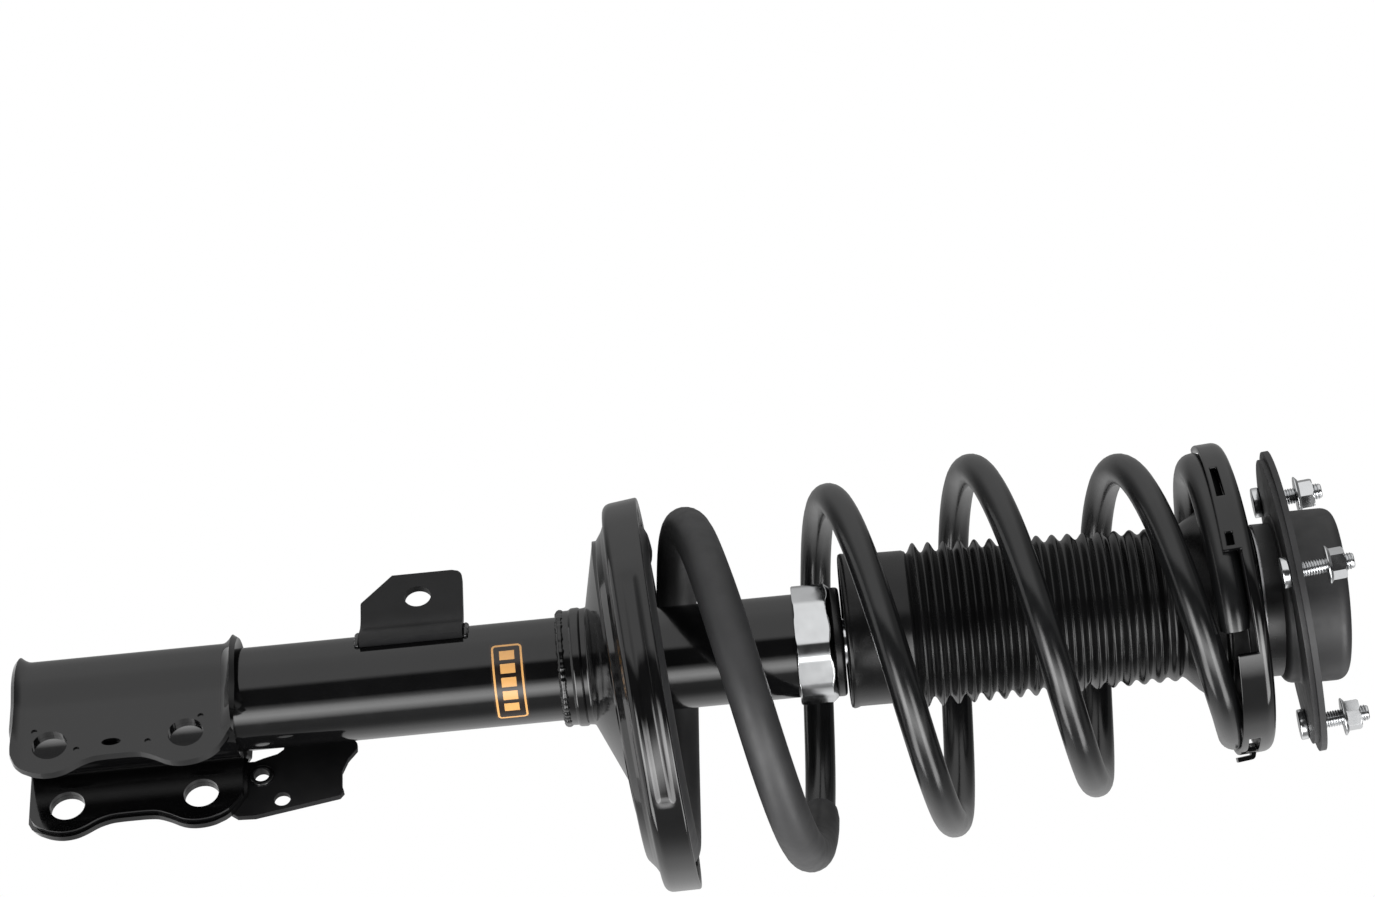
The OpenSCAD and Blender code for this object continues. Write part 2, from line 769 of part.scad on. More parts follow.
module mount_lower_plate() {
    corner_z = bearing_top + cup_corner;
    color([0.06, 0.06, 0.06]) difference() {
        union() {
            difference() {
                mount_space() translate([0, 0, -upper_plate_t - lower_plate_t]) linear_extrude(lower_plate_t)
                    trefoil(plate_r - lower_plate_inset);
                translate([0, 0, -big / 2]) cylinder(r = cup_in_r, h = big);
            }
            difference() {
                turned(concat(
                    [[12.5, bearing_top]],
                    arc([cup_r - cup_corner, corner_z], cup_corner, -90, 0),
                    [[cup_r, cup_corner], [cup_in_r, cup_corner]],
                    arc([cup_r - cup_corner, corner_z], cup_corner - lower_plate_t, 0, -90),
                    [[12.5, bearing_top + lower_plate_t]]));
                mount_space() above(-upper_plate_t);
            }
        }
        stud_clearance();
    }
}

module mount_rubber() {
    outer = min(cup_in_r, dome_r - dome_wall) - 0.1;
    top = dome_h - dome_wall - 0.1;
    bottom = bearing_top + lower_plate_t + 0.1;
    color([0.08, 0.08, 0.08]) turned([
        [13, bottom], [outer - 3.4, bottom], [outer - 1.1, bottom + 1.1], [outer, bottom + 3.4],
        [outer, dome_h - dome_shoulder], [outer - 1.9, top - 1.6], [outer - 7, top],
        [30, top], [22, sleeve_top + 0.5], [16.5, sleeve_top - 0.7], [13, sleeve_top - 1.2]]);
}

module mount_inner_sleeve() {
    color([0.7, 0.7, 0.72]) turned([
        [thread_r, rod_shoulder_z], [13, rod_shoulder_z], [13, sleeve_top - 1.1], [16, sleeve_top - 0.5],
        [16, sleeve_top], [thread_r, sleeve_top]]);
}

module mount_studs() {
    head_top = -upper_plate_t - lower_plate_t;
    tip = 1;
    color([0.85, 0.85, 0.86]) mount_space() at_studs() turned([
        [0, head_top - stud_head_t],
        [stud_head_r, head_top - stud_head_t],
        [stud_head_r, head_top],
        [stud_press_r, head_top],
        [stud_press_r, 0],
        [stud_d / 2, 0],
        [stud_d / 2, stud_shank_h],
        [stud_relief_r, stud_shank_h],
        [stud_relief_r, stud_shank_h + stud_relief_h],
        [stud_thread_r, stud_shank_h + stud_relief_h],
        [stud_thread_r, stud_reach - tip],
        [stud_thread_r - tip, stud_reach],
        [0, stud_reach]]);
}

module stud_nuts() {
    flange_r = 9.2;
    flange_t = 1.8;
    hex_h = 7;
    hex_r = 7.4;
    color([0.85, 0.85, 0.86]) mount_space() at_studs() translate([0, 0, stud_nut_z]) difference() {
        union() {
            cylinder(r = flange_r, h = flange_t);
            translate([0, 0, flange_t]) cylinder(r = hex_r, h = hex_h, $fn = 6);
        }
        translate([0, 0, -1]) cylinder(r = stud_thread_r, h = hex_h + flange_t + 2);
    }
}

module rod_washer() {
    color([0.75, 0.75, 0.76]) ring(thread_r, 15.5, sleeve_top, sleeve_top + washer_t);
}

module rod_nut() {
    color([0.8, 0.8, 0.82]) translate([0, 0, sleeve_top + washer_t]) difference() {
        cylinder(r = 12.1, h = rod_nut_h - 1, $fn = 6);
        translate([0, 0, -1]) cylinder(r = thread_r, h = rod_nut_h + 2);
    }
}

strut_tube();
tube_end_cap();
pressure_tube();
base_valve();
rod_guide();
rod_seal();
gland_nut();
striker_cap();
piston_rod();
rebound_stop();
rebound_collar();
piston();
piston_band();
piston_nut();
knuckle_bracket();
bracket_reinforcement();
brake_hose_bracket();
link_bracket();
tube_label();
lower_spring_seat();
lower_insulator();
coil_spring();
spring_sleeve();
dust_boot();
bump_stop();
upper_insulator();
upper_spring_seat();
bearing_lower_race();
bearing_balls();
bearing_upper_race();
mount_lower_plate();
mount_upper_plate();
mount_rubber();
mount_inner_sleeve();
mount_studs();
stud_nuts();
rod_washer();
rod_nut();
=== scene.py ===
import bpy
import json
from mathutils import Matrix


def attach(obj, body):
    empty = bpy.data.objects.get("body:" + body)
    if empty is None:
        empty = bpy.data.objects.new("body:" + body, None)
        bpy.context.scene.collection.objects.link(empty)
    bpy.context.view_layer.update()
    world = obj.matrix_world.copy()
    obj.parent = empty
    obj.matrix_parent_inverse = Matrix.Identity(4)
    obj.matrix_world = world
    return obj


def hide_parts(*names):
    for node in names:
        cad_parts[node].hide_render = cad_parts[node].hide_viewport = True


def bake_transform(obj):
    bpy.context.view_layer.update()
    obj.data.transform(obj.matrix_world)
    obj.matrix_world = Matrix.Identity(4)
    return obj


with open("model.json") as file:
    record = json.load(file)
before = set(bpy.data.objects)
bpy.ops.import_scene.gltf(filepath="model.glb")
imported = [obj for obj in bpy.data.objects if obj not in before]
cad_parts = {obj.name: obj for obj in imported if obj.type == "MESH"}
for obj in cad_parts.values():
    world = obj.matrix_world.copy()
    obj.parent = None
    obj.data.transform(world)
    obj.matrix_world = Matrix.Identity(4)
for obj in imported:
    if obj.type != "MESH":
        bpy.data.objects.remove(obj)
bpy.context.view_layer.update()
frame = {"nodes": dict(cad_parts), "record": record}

import json
import math

import bmesh
import bpy
import numpy as np
from mathutils import Matrix, Vector

# Sizes are in millimetres in the part's frame, and meshes are written in metres.
MM = 0.001
TAU = 2 * math.pi
nodes = frame["nodes"]
scene = bpy.context.scene

SEAT_TURN, SEAT_TILT, SEAT_OFFSET, FLOOR_Z = 40.0, 4.0, 18.0, -328.0
MOUNT_TURN, MOUNT_TILT = 73.0, 6.0
SEAT_SPACE = (Matrix.Rotation(math.radians(SEAT_TURN), 4, "Z")
              @ Matrix.Translation((SEAT_OFFSET, 0, FLOOR_Z))
              @ Matrix.Rotation(math.radians(-SEAT_TILT), 4, "Y"))
MOUNT_SPACE = (Matrix.Rotation(math.radians(MOUNT_TURN), 4, "Z")
               @ Matrix.Rotation(math.radians(-MOUNT_TILT), 4, "Y")
               @ Matrix.Rotation(math.radians(-MOUNT_TURN), 4, "Z"))
WORLD = Matrix.Identity(4)


# ---- Materials ----

def material(name, base, rough, metallic=0.0, coat=0.0, coat_rough=0.05, specular=0.5,
             tone=0.15, tone_scale=60, rough_spread=0.05, rough_scale=140,
             bump=0.02, bump_scale=500, grain=0.0, grain_scale=2500, streak=None):
    """A surface with uneven colour and gloss and two sizes of relief; bump and grain are depths in mm."""
    surface = bpy.data.materials.new(name)
    surface.use_nodes = True
    tree = surface.node_tree
    tree.nodes.clear()
    link = tree.links.new
    out = tree.nodes.new("ShaderNodeOutputMaterial")
    bsdf = tree.nodes.new("ShaderNodeBsdfPrincipled")
    link(bsdf.outputs[0], out.inputs[0])
    bsdf.inputs["Metallic"].default_value = metallic
    bsdf.inputs["Specular IOR Level"].default_value = specular
    bsdf.inputs["Coat Weight"].default_value = coat
    bsdf.inputs["Coat Roughness"].default_value = coat_rough
    point = tree.nodes.new("ShaderNodeTexCoord").outputs["Object"]
    if streak:
        mapping = tree.nodes.new("ShaderNodeMapping")
        mapping.inputs["Scale"].default_value = streak
        link(point, mapping.inputs[0])
        point = mapping.outputs[0]

    def noise(scale, detail):
        n = tree.nodes.new("ShaderNodeTexNoise")
        n.inputs["Scale"].default_value = scale
        n.inputs["Detail"].default_value = detail
        link(point, n.inputs["Vector"])
        return n.outputs[0]

    ramp = tree.nodes.new("ShaderNodeValToRGB")
    dark, light = ramp.color_ramp.elements
    dark.position, light.position = 0.3, 0.7
    dark.color = [c * (1 - tone) for c in base] + [1]
    light.color = [min(1, c * (1 + tone)) for c in base] + [1]
    link(noise(tone_scale, 4), ramp.inputs[0])
    link(ramp.outputs[0], bsdf.inputs["Base Color"])
    gloss = tree.nodes.new("ShaderNodeMapRange")
    gloss.inputs["From Min"].default_value = 0.3
    gloss.inputs["From Max"].default_value = 0.7
    gloss.inputs["To Min"].default_value = max(0.02, rough - rough_spread)
    gloss.inputs["To Max"].default_value = min(1, rough + rough_spread)
    link(noise(rough_scale, 3), gloss.inputs[0])
    link(gloss.outputs[0], bsdf.inputs["Roughness"])
    normal = None
    for depth, scale, detail in ((bump, bump_scale, 2), (grain, grain_scale, 1)):
        if depth:
            b = tree.nodes.new("ShaderNodeBump")
            b.inputs["Distance"].default_value = depth * MM
            b.inputs["Strength"].default_value = 1.0
            link(noise(scale, detail), b.inputs["Height"])
            if normal:
                link(normal, b.inputs["Normal"])
            normal = b.outputs[0]
    if normal:
        link(normal, bsdf.inputs["Normal"])
    return surface


SLOT_LOOKS = {
    "black_paint": dict(base=(0.0032, 0.0032, 0.0034), rough=0.105, coat=0.3, coat_rough=0.04, tone=0.2,
                        rough_spread=0.04, bump=0.01, bump_scale=380),
    "mount_paint": dict(base=(0.024, 0.024, 0.025), rough=0.48, rough_spread=0.06, bump=0.012,
                        bump_scale=450, grain=0.004),
    "spring_coating": dict(base=(0.006, 0.0062, 0.0065), rough=0.22, coat=0.25, coat_rough=0.16, tone=0.2,
                           rough_spread=0.04, bump=0.012, bump_scale=600, grain=0.003),
    "sleeve_vinyl": dict(base=(0.03, 0.03, 0.031), rough=0.48, tone=0.12, rough_spread=0.06, bump_scale=300,
                         grain=0.005),
    "boot_rubber": dict(base=(0.005, 0.005, 0.0052), rough=0.24, specular=0.36, tone=0.25, rough_spread=0.06,
                        bump_scale=350, grain=0.004),
    "black_rubber": dict(base=(0.009, 0.009, 0.0095), rough=0.36, tone=0.25, rough_spread=0.1, bump=0.03,
                         bump_scale=300, grain=0.008),
    "bump_foam": dict(base=(0.62, 0.55, 0.33), rough=0.85, tone=0.12, bump=0.15, bump_scale=900, grain=0.05),
    "black_plastic": dict(base=(0.01, 0.01, 0.0105), rough=0.3, bump=0.01, bump_scale=800, grain=0.005),
    "bright_zinc": dict(base=(0.7, 0.71, 0.72), rough=0.16, metallic=1.0, tone=0.05, tone_scale=90,
                        bump=0.004, bump_scale=160, grain=0.002),
    "rod_chrome": dict(base=(0.75, 0.76, 0.78), rough=0.08, metallic=1.0, tone=0.03, rough_spread=0.03,
                       bump=0.001, bump_scale=900, streak=(1, 1, 12)),
    "plain_steel": dict(base=(0.46, 0.46, 0.47), rough=0.32, metallic=1.0, tone=0.1, rough_spread=0.08,
                        bump=0.006, streak=(1, 1, 14)),
    "valve_brass": dict(base=(0.6, 0.45, 0.18), rough=0.3, metallic=1.0, tone=0.1, bump=0.006,
                        streak=(1, 1, 10)),
    "band_plastic": dict(base=(0.22, 0.17, 0.12), rough=0.5, bump=0.01)}
SLOT_MATERIAL = {slot: material(slot, **look) for slot, look in SLOT_LOOKS.items()}
# Satin paint for the welded brackets. It is rougher and less glossy than black_paint, and its lighter base
# colour is painted fill light that lifts the hose plate out of shade.
bracket_satin_painted_fill = material("bracket_satin_painted_fill", (0.009, 0.009, 0.0095), 0.36, specular=0.22, tone=0.2,
                         rough_spread=0.06, bump=0.012, bump_scale=420, grain=0.003)


def calculator(tree):
    """Returns calc(operation, a, b), which adds a Math node to the tree; a and b are numbers or sockets."""
    def calc(operation, a, b=0.0):
        n = tree.nodes.new("ShaderNodeMath")
        n.operation = operation
        for socket, value in zip(n.inputs, (a, b)):
            if isinstance(value, (int, float)):
                socket.default_value = value
            else:
                tree.links.new(value, socket)
        return n.outputs[0]

    return calc


LABEL_LOW, LABEL_HIGH, LABEL_FIRST, LABEL_SPAN, LABEL_R = -389.5, -373.0, 275.0, 95.0, 25.1


def label_material():
    """A printed film: dark field, orange border and plain blocks, laid out in mm from the label's middle."""
    surface = material("label_film", (0.013, 0.008, 0.006), 0.22, coat=0.3, tone=0.1, bump=0.004,
                       bump_scale=300)
    tree = surface.node_tree
    link = tree.links.new
    calc = calculator(tree)
    bsdf = tree.nodes["Principled BSDF"]
    field = bsdf.inputs["Base Color"].links[0].from_socket
    split = tree.nodes.new("ShaderNodeSeparateXYZ")
    link(tree.nodes.new("ShaderNodeUVMap").outputs[0], split.inputs[0])
    width, height = LABEL_R * math.radians(LABEL_SPAN), LABEL_HIGH - LABEL_LOW
    x = calc("MULTIPLY", calc("SUBTRACT", split.outputs[0], 0.5), width)
    y = calc("MULTIPLY", calc("SUBTRACT", split.outputs[1], 0.5), height)
    corner, margin, line = 2.2, 0.9, 1.0
    dx = calc("MAXIMUM", calc("SUBTRACT", calc("ABSOLUTE", x), width / 2 - margin - corner), 0.0)
    dy = calc("MAXIMUM", calc("SUBTRACT", calc("ABSOLUTE", y), height / 2 - margin - corner), 0.0)
    away = calc("SQRT", calc("ADD", calc("MULTIPLY", dx, dx), calc("MULTIPLY", dy, dy)))
    edge = calc("SUBTRACT", away, corner)
    border = calc("LESS_THAN", calc("ABSOLUTE", calc("ADD", edge, line / 2)), line / 2)
    row_half, row_reach, block_pitch, block_share = 3.6, 16.5, 6.6, 0.7
    in_row = calc("MULTIPLY", calc("LESS_THAN", calc("ABSOLUTE", y), row_half),
                  calc("LESS_THAN", calc("ABSOLUTE", x), row_reach))
    place = calc("FRACT", calc("MULTIPLY", calc("ADD", x, row_reach), 1 / block_pitch))
    block = calc("MULTIPLY", in_row, calc("LESS_THAN", place, block_share))
    mix = tree.nodes.new("ShaderNodeMix")
    mix.data_type = "RGBA"
    factor, below, above = mix.inputs[0], mix.inputs[6], mix.inputs[7]
    link(calc("MAXIMUM", border, block), factor)
    link(field, below)
    above.default_value = (0.68, 0.36, 0.12, 1)
    link(mix.outputs[2], bsdf.inputs["Base Color"])
    return surface


SLOT_MATERIAL["label_film"] = label_material()
for record_part in frame["record"]["subparts"]:
    cad = nodes[record_part["node"]]
    cad.data.materials.clear()
    cad.data.materials.append(SLOT_MATERIAL[record_part["material_slot"]])


# ---- Mesh helpers ----

def finish_piece(ob, body, slot_name, cad_nodes=(), sharp=34, look=None):
    """Dresses a mesh in its slot's material (or its own look), hangs it on its body and hides the CAD nodes
    it replaces.
    """
    ob.data.materials.clear()
    ob.data.materials.append(look or SLOT_MATERIAL[slot_name])
    for face in ob.data.polygons:
        face.use_smooth = True
    if sharp:
        ob.data.set_sharp_from_angle(angle=math.radians(sharp))
    if body:
        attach(ob, body)
    if cad_nodes:
        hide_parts(*cad_nodes)
    return ob


def mesh_object(name, verts, faces, space=WORLD, merge=True):
    """A linked object from points in the space's mm; merge joins doubled points, which renumbers them."""
    me = bpy.data.meshes.new(name)
    me.from_pydata([(space @ Vector(v)) * MM for v in verts], [], faces)
    bm = bmesh.new()
    bm.from_mesh(me)
    if merge:
        bmesh.ops.remove_doubles(bm, verts=bm.verts, dist=2e-6)
        bmesh.ops.dissolve_degenerate(bm, edges=bm.edges, dist=1e-7)
    bmesh.ops.recalc_face_normals(bm, faces=bm.faces)
    bm.to_mesh(me)
    bm.free()
    ob = bpy.data.objects.new(name, me)
    scene.collection.objects.link(ob)
    return ob


def grid_faces(rows, columns, close_rows=False, close_columns=False, keep=None):
    """Quads over a grid of points; keep(row, column) may leave cells open."""
    faces = []
    for i in range(rows if close_rows else rows - 1):
        for j in range(columns if close_columns else columns - 1):
            if keep is None or keep(i, j):
                a, b = i * columns + j, i * columns + (j + 1) % columns
                c, d = (i + 1) % rows * columns + (j + 1) % columns, (i + 1) % rows * columns + j
                faces.append((a, b, c, d))
    return faces


def curve(p0, p1, p2, steps):
    """Points of a quadratic curve from p0 to p2 that sets off towards p1."""
    shares = [k / steps for k in range(steps + 1)]
    return [p0 * (1 - t) ** 2 + p1 * 2 * t * (1 - t) + p2 * t * t for t in shares]


def mesh_from_rows(name, rows, **closing):
    """A surface through rows of points, all of the same length."""
    return mesh_object(name, [v for row in rows for v in row], grid_faces(len(rows), len(rows[0]), **closing))


def rounded(points, radius=0.6, steps=3, closed=True):
    """The outline with its corners rounded; a point may carry its own radius as a third number."""
    out, n = [], len(points)
    for i, p in enumerate(points):
        r = p[2] if len(p) > 2 else radius
        b = Vector(p[:2])
        if r <= 0 or (not closed and i in (0, n - 1)):
            out.append(b)
            continue
        u, v = Vector(points[i - 1][:2]) - b, Vector(points[(i + 1) % n][:2]) - b
        reach = 0.48 * min(u.length, v.length)
        u.normalize()
        v.normalize()
        angle = u.angle(v, math.pi)
        d = min(r / math.tan(max(angle, 0.02) / 2), reach)
        out += curve(b + u * d, b, b + v * d, steps)
    return out


def divided(points, step, closed=False):
    """The points with long stretches between them divided into steps of about that length."""
    out = []
    for a, b in zip(points, points[1:] + points[:1] if closed else points[1:]):
        n = max(1, int((b - a).length / step))
        out += [a.lerp(b, k / n) for k in range(n)]
    return out if closed else out + [points[-1]]


def lathe(name, profile, segments=96, space=WORLD, closed=True, move=None):
    """Turns (radius, height) points round the space's Z axis; move(point) may shift each point afterwards."""
    verts = []
    for p in profile:
        for k in range(segments):
            a = TAU * k / segments
            v = Vector((p[0] * math.cos(a), p[0] * math.sin(a), p[1]))
            verts.append(move(v) if move else v)
    faces = grid_faces(len(profile), segments, close_rows=closed, close_columns=True)
    return mesh_object(name, verts, faces, space)


def apply_modifiers(ob):
    """Turns the object's modifiers into plain mesh."""
    evaluated = ob.evaluated_get(bpy.context.evaluated_depsgraph_get())
    me = bpy.data.meshes.new_from_object(evaluated)
    ob.modifiers.clear()
    old = ob.data
    ob.data = me
    me.name = old.name
    return ob


def thicken(ob, thickness):
    """Gives a surface its sheet's thickness, half to each side."""
    m = ob.modifiers.new("thick", "SOLIDIFY")
    m.thickness, m.offset, m.use_even_offset = thickness * MM, 0.0, True
    return apply_modifiers(ob)


def cut(ob, tool):
    m = ob.modifiers.new("cut", "BOOLEAN")
    m.operation, m.solver, m.object = "DIFFERENCE", "EXACT", tool
    apply_modifiers(ob)
    bpy.data.objects.remove(tool)


def soften(ob, width, segments=3, angle=35):
    """Rounds the edges sharper than the angle over."""
    m = ob.modifiers.new("soften", "BEVEL")
    m.width, m.segments, m.limit_method = width * MM, segments, "ANGLE"
    m.angle_limit = math.radians(angle)
    apply_modifiers(ob)
    m = ob.modifiers.new("flat", "WEIGHTED_NORMAL")
    m.keep_sharp = True
    m.weight = 60
    return ob


def from_cad(name, node, width, segments=3, angle=30):
    """A copy of a CAD node's shape with its edges rounded over."""
    me = nodes[node].data.copy()
    me.name = name
    bm = bmesh.new()
    bm.from_mesh(me)
    bmesh.ops.remove_doubles(bm, verts=bm.verts, dist=2e-6)
    bmesh.ops.dissolve_limit(bm, angle_limit=math.radians(0.8), verts=bm.verts, edges=bm.edges)
    bm.to_mesh(me)
    bm.free()
    ob = bpy.data.objects.new(name, me)
    scene.collection.objects.link(ob)
    return soften(ob, width, segments, angle)


def rod_between(a, b, radius, segments):
    """A plain cylinder used as a cutting tool."""
    a, b = Vector(a), Vector(b)
    turn = (b - a).to_track_quat("Z", "Y").to_matrix().to_4x4()
    space = Matrix.Translation(a) @ turn
    length = (b - a).length
    return lathe("tool", [(0, 0), (radius, 0), (radius, length), (0, length)], segments, space, closed=False)


def bead(name, path, radius, pitch=2.6, closed=False):
    """A weld bead on the cylinder: a round cord along the path with overlapping ripples."""
    dense, ripple, end_share = divided(path, 0.6, closed), 0.22, 0.3
    verts, travelled, count, sides = [], 0.0, len(dense), 12
    for i, p in enumerate(dense):
        before = dense[i - 1] if i or closed else p
        after = dense[(i + 1) % count] if closed or i < count - 1 else p
        along = (after - before).normalized()
        travelled += (p - dense[i - 1]).length if i else 0
        side = along.orthogonal().normalized()
        other = along.cross(side)
        wave = (travelled / pitch) % 1
        r = radius * (1 - ripple + ripple * 2 * math.sqrt(wave) * (1 - 0.4 * wave))
        r *= 1 + 0.08 * math.sin(travelled * 0.9) + 0.05 * math.sin(travelled * 2.3 + 1)
        if not closed and i in (0, count - 1):
            r *= end_share
        for k in range(sides):
            turn = TAU * k / sides
            verts.append(p + side * r * math.cos(turn) + other * r * math.sin(turn))
    faces = grid_faces(count, sides, close_rows=closed, close_columns=True)
    if not closed:
        faces += [tuple(range(sides)), tuple(range((count - 1) * sides, count * sides))]
    finish_piece(mesh_object(name, verts, faces), "cylinder", "black_paint", sharp=60)


def polar(r, degrees, z=0.0):
    """The point at that distance from the strut's axis, that angle round it and that height."""
    a = math.radians(degrees)
    return Vector((r * math.cos(a), r * math.sin(a), z))


def smooth_step(t):
    t = min(1.0, max(0.0, t))
    return t * t * (3 - 2 * t)


def share_of(n, first, last):
    """How far n has come from first to last, from 0 to 1."""
    return min(1, max(0, (n - first) / (last - first)))


def flat_limit(degrees, flats, sides):
    """How far a polygon with that distance to its flats reaches at the angle."""
    step = 360 / sides
    return flats / math.cos(math.radians((degrees + step / 2) % step - step / 2))


# ---- Damper body ----

TUBE_R, BORE_R, TUBE_LOW, TUBE_HIGH, FOOT_LOW = 25.0, 22.5, -612.0, -230.0, -618.0
wall = [(BORE_R, TUBE_LOW, 0.3), (BORE_R, TUBE_HIGH, 0.5), (TUBE_R, TUBE_HIGH, 1.2), (TUBE_R, TUBE_LOW, 0.2)]
tube = lathe("damper_tube", rounded(wall), 160)
finish_piece(tube, "cylinder", "black_paint", ["strut_tube"])
foot = lathe("tube_foot", rounded([
    (0.01, FOOT_LOW, 0), (19, FOOT_LOW, 5), (24.98, -612.5, 4), (24.98, -608, 0.2), (22.4, -608, 0.3),
    (22.4, TUBE_LOW, 1), (0.01, -613, 0)], 0.5, 5, closed=False), 128)
finish_piece(foot, "cylinder", "black_paint", ["tube_end_cap"])


def gland_nut():
    """An eight-sided nut: chamfered corners give each flat its scalloped edges."""
    flats, corner, bore, low, high, turn, blend = 27.75, 28.8, 25.1, -243.0, -224.5, 26.0, 0.35
    outline = [(28.3, low + 0.1), (corner, low + 0.6), (corner, high - 2.6), (26.6, high), (14.2, high),
               (13.8, high - 0.4), (13.8, high - 4.3), (bore, high - 4.3), (bore, low + 0.2)]
    profile = divided(rounded(outline, 0.5), 0.6, closed=True)
    segments, verts = 256, []
    for r, z in profile:
        for k in range(segments):
            a = 360 * k / segments
            limit = flat_limit(a, flats, 8)
            eased = min(r, limit) - max(0, blend - abs(limit - r)) ** 2 / (4 * blend)
            verts.append(polar(eased if r > bore + 0.1 else r, a + turn, z))
    return mesh_object("gland_nut_zinc", verts, grid_faces(len(profile), segments, True, True))


finish_piece(gland_nut(), "cylinder", "bright_zinc", ["gland_nut"], sharp=28)
cap = lathe("striker_cap_moulded", rounded([
    (11.7, -224.4, 0.3), (26.4, -224.4, 0.4), (26.4, -220.1, 2.4), (19, -219.9, 1), (17, -221.2, 0.8),
    (14.5, -221.2, 0.8), (13.5, -219.9, 0.5), (11.7, -219.9, 0.4)], 0.5, 5), 128)
finish_piece(cap, "cylinder", "black_plastic", ["striker_cap"])

# ---- Knuckle clamp ----

CLAMP_LOW, CLAMP_HIGH = -618.9, -513.0
LOWER_HOLE, UPPER_HOLE, HOLE_X, HOLE_R = -600.0, -535.0, 39.0, 8.5
# Height and reach along the ears' edge: two lobes round the holes and a waist between them.
EAR_EDGE = [(-620, 38), (-618.5, 46), (-615, 51), (-608, 55), (-602, 56.4), (-596, 56), (-591, 54),
            (-585, 50.2), (-579, 48.2), (-573, 47.9), (-562, 47.9), (-556, 48.4), (-550, 51.2), (-544, 55),
            (-539, 56.4), (-533, 56.4), (-527, 55), (-521, 51.5), (-517, 46), (-514.5, 42), (-513, 38)]


def ear_edge(z, inset=0.0):
    """How far the ear reaches at height z, with the outline's corners averaged away."""
    zs, xs = zip(*EAR_EDGE)
    return float(np.mean([np.interp(z + d, zs, xs) for d in (-2, -1, 0, 1, 2)])) - inset


def clamp_levels(low, high):
    """Heights of the stamping's rows, close together at both rims."""
    ends = [0, 0.6, 1.2, 2, 3, 4, 5, 6, 7, 8.5, 10.5]
    middle = list(np.arange(low + 13, high - 12.9, 2.0))
    return [low + d for d in ends] + middle + [high - d for d in reversed(ends)]


def drill_ears(ob, radius):
    """The two knuckle bolts' holes, through both ears."""
    for z in (LOWER_HOLE, UPPER_HOLE):
        cut(ob, rod_between((HOLE_X, -60, z), (HOLE_X, 60, z), radius, 48))


def clamp_outer():
    """Two ears joined by a round back, with flared rims; both have a slot, one has four small dimples."""
    mid_ear, mid_round, neck_x, rows = 24.0, 26.5, 15.0, []
    lip_reach, far_reach, ear_steps, neck_steps, back_steps = 6.5, 9, 14, 9, 48
    for z in clamp_levels(CLAMP_LOW, CLAMP_HIGH):
        up, down = CLAMP_HIGH - z, z - CLAMP_LOW
        lip_low = 3.0 * max(0, 1 - down / lip_reach) ** 2
        lip_high = 4.6 * max(0, 1 - up / lip_reach) ** 2
        far_low = 3.6 * max(0, 1 - down / far_reach) ** 2
        halves, tip = [], ear_edge(z)
        for side in (-1, 1):
            half = []
            for k in range(ear_steps + 1):
                x = tip + (neck_x - tip) * k / ear_steps
                if side < 0:
                    share = smooth_step((tip - x) / 16)
                    flare = lip_low * (0.25 + 0.75 * share) + lip_high * (0.3 + 0.7 * share)
                else:
                    share = smooth_step((20 - x) / 6)
                    flare = far_low * (0.45 + 0.55 * smooth_step((x - 22) / 25)) + lip_high * share
                half.append(Vector((x, side * (mid_ear + flare), z)))
            for k in range(1, neck_steps):
                mid = mid_ear + (mid_round - mid_ear) * smooth_step(k / neck_steps)
                half.append(Vector((neck_x * (1 - k / neck_steps), side * (mid + lip_low + lip_high), z)))
            halves.append(half)
        back_r = mid_round + lip_low + lip_high
        back = [polar(back_r, -90 - 180 * k / back_steps, z) for k in range(back_steps + 1)]
        rows.append(halves[0] + back + halves[1][::-1])
    ob = mesh_from_rows("clamp_outer_stamping", rows)
    thicken(ob, 3.0)
    drill_ears(ob, HOLE_R)
    for x, z in ((29.8, -607.7), (43, -587), (42, -553), (29.6, -528)):
        cut(ob, rod_between((x, -27.5, z), (x, -24.6, z), 1.5, 20))
    slot_r, slot_stretch, slot_x, slot_z = 2.2, 2.1, 40.4, -570.5
    for side in (-1, 1):
        place = (Matrix.Translation((slot_x, side * 31, slot_z))
                 @ Matrix.Rotation(math.radians(90 * side), 4, "X")
                 @ Matrix.Diagonal((1, slot_stretch, 1, 1)))
        cut(ob, lathe("tool", [(0, 0), (slot_r, 0), (slot_r, 12), (0, 12)], 24, place, closed=False))
    return soften(ob, 1.42, 5, 40)


def clamp_inner():
    """The stamping inside the outer one: flat ears that turn into a band round the tube's front."""
    mid_ear, mid_round, band_half, rows = 21.2, 26.2, 40, []
    corner_x = math.sqrt(mid_round ** 2 - mid_ear ** 2)
    start_x = corner_x + 4
    turn = curve(Vector((start_x, mid_ear)), Vector((corner_x + 0.4, mid_ear)),
                 polar(mid_round, band_half).xy, 8)
    for z in clamp_levels(CLAMP_LOW + 1, CLAMP_HIGH - 2):
        tip, halves = ear_edge(z, 1.4), []
        for side in (-1, 1):
            ear = [Vector((tip + (start_x - tip) * k / 12, side * mid_ear, z)) for k in range(13)]
            halves.append(ear + [Vector((q.x, side * q.y, z)) for q in turn[1:]])
        middle = [polar(mid_round, band_half * (2 * k / 24 - 1), z) for k in range(1, 24)]
        rows.append(halves[0] + middle + halves[1][::-1])
    ob = mesh_from_rows("clamp_inner_stamping", rows)
    thicken(ob, 2.3)
    drill_ears(ob, HOLE_R + 0.05)
    return soften(ob, 1.0, 4, 40)


finish_piece(clamp_outer(), "cylinder", "black_paint", ["knuckle_bracket"])
finish_piece(clamp_inner(), "cylinder", "black_paint", ["bracket_reinforcement"])
# The hose plate wears the satin bracket paint, whose lighter base colour is painted fill light.
finish_piece(from_cad("hose_bracket_plate", "brake_hose_bracket", 0.9), "cylinder", "black_paint",
             ["brake_hose_bracket"], look=bracket_satin_painted_fill)


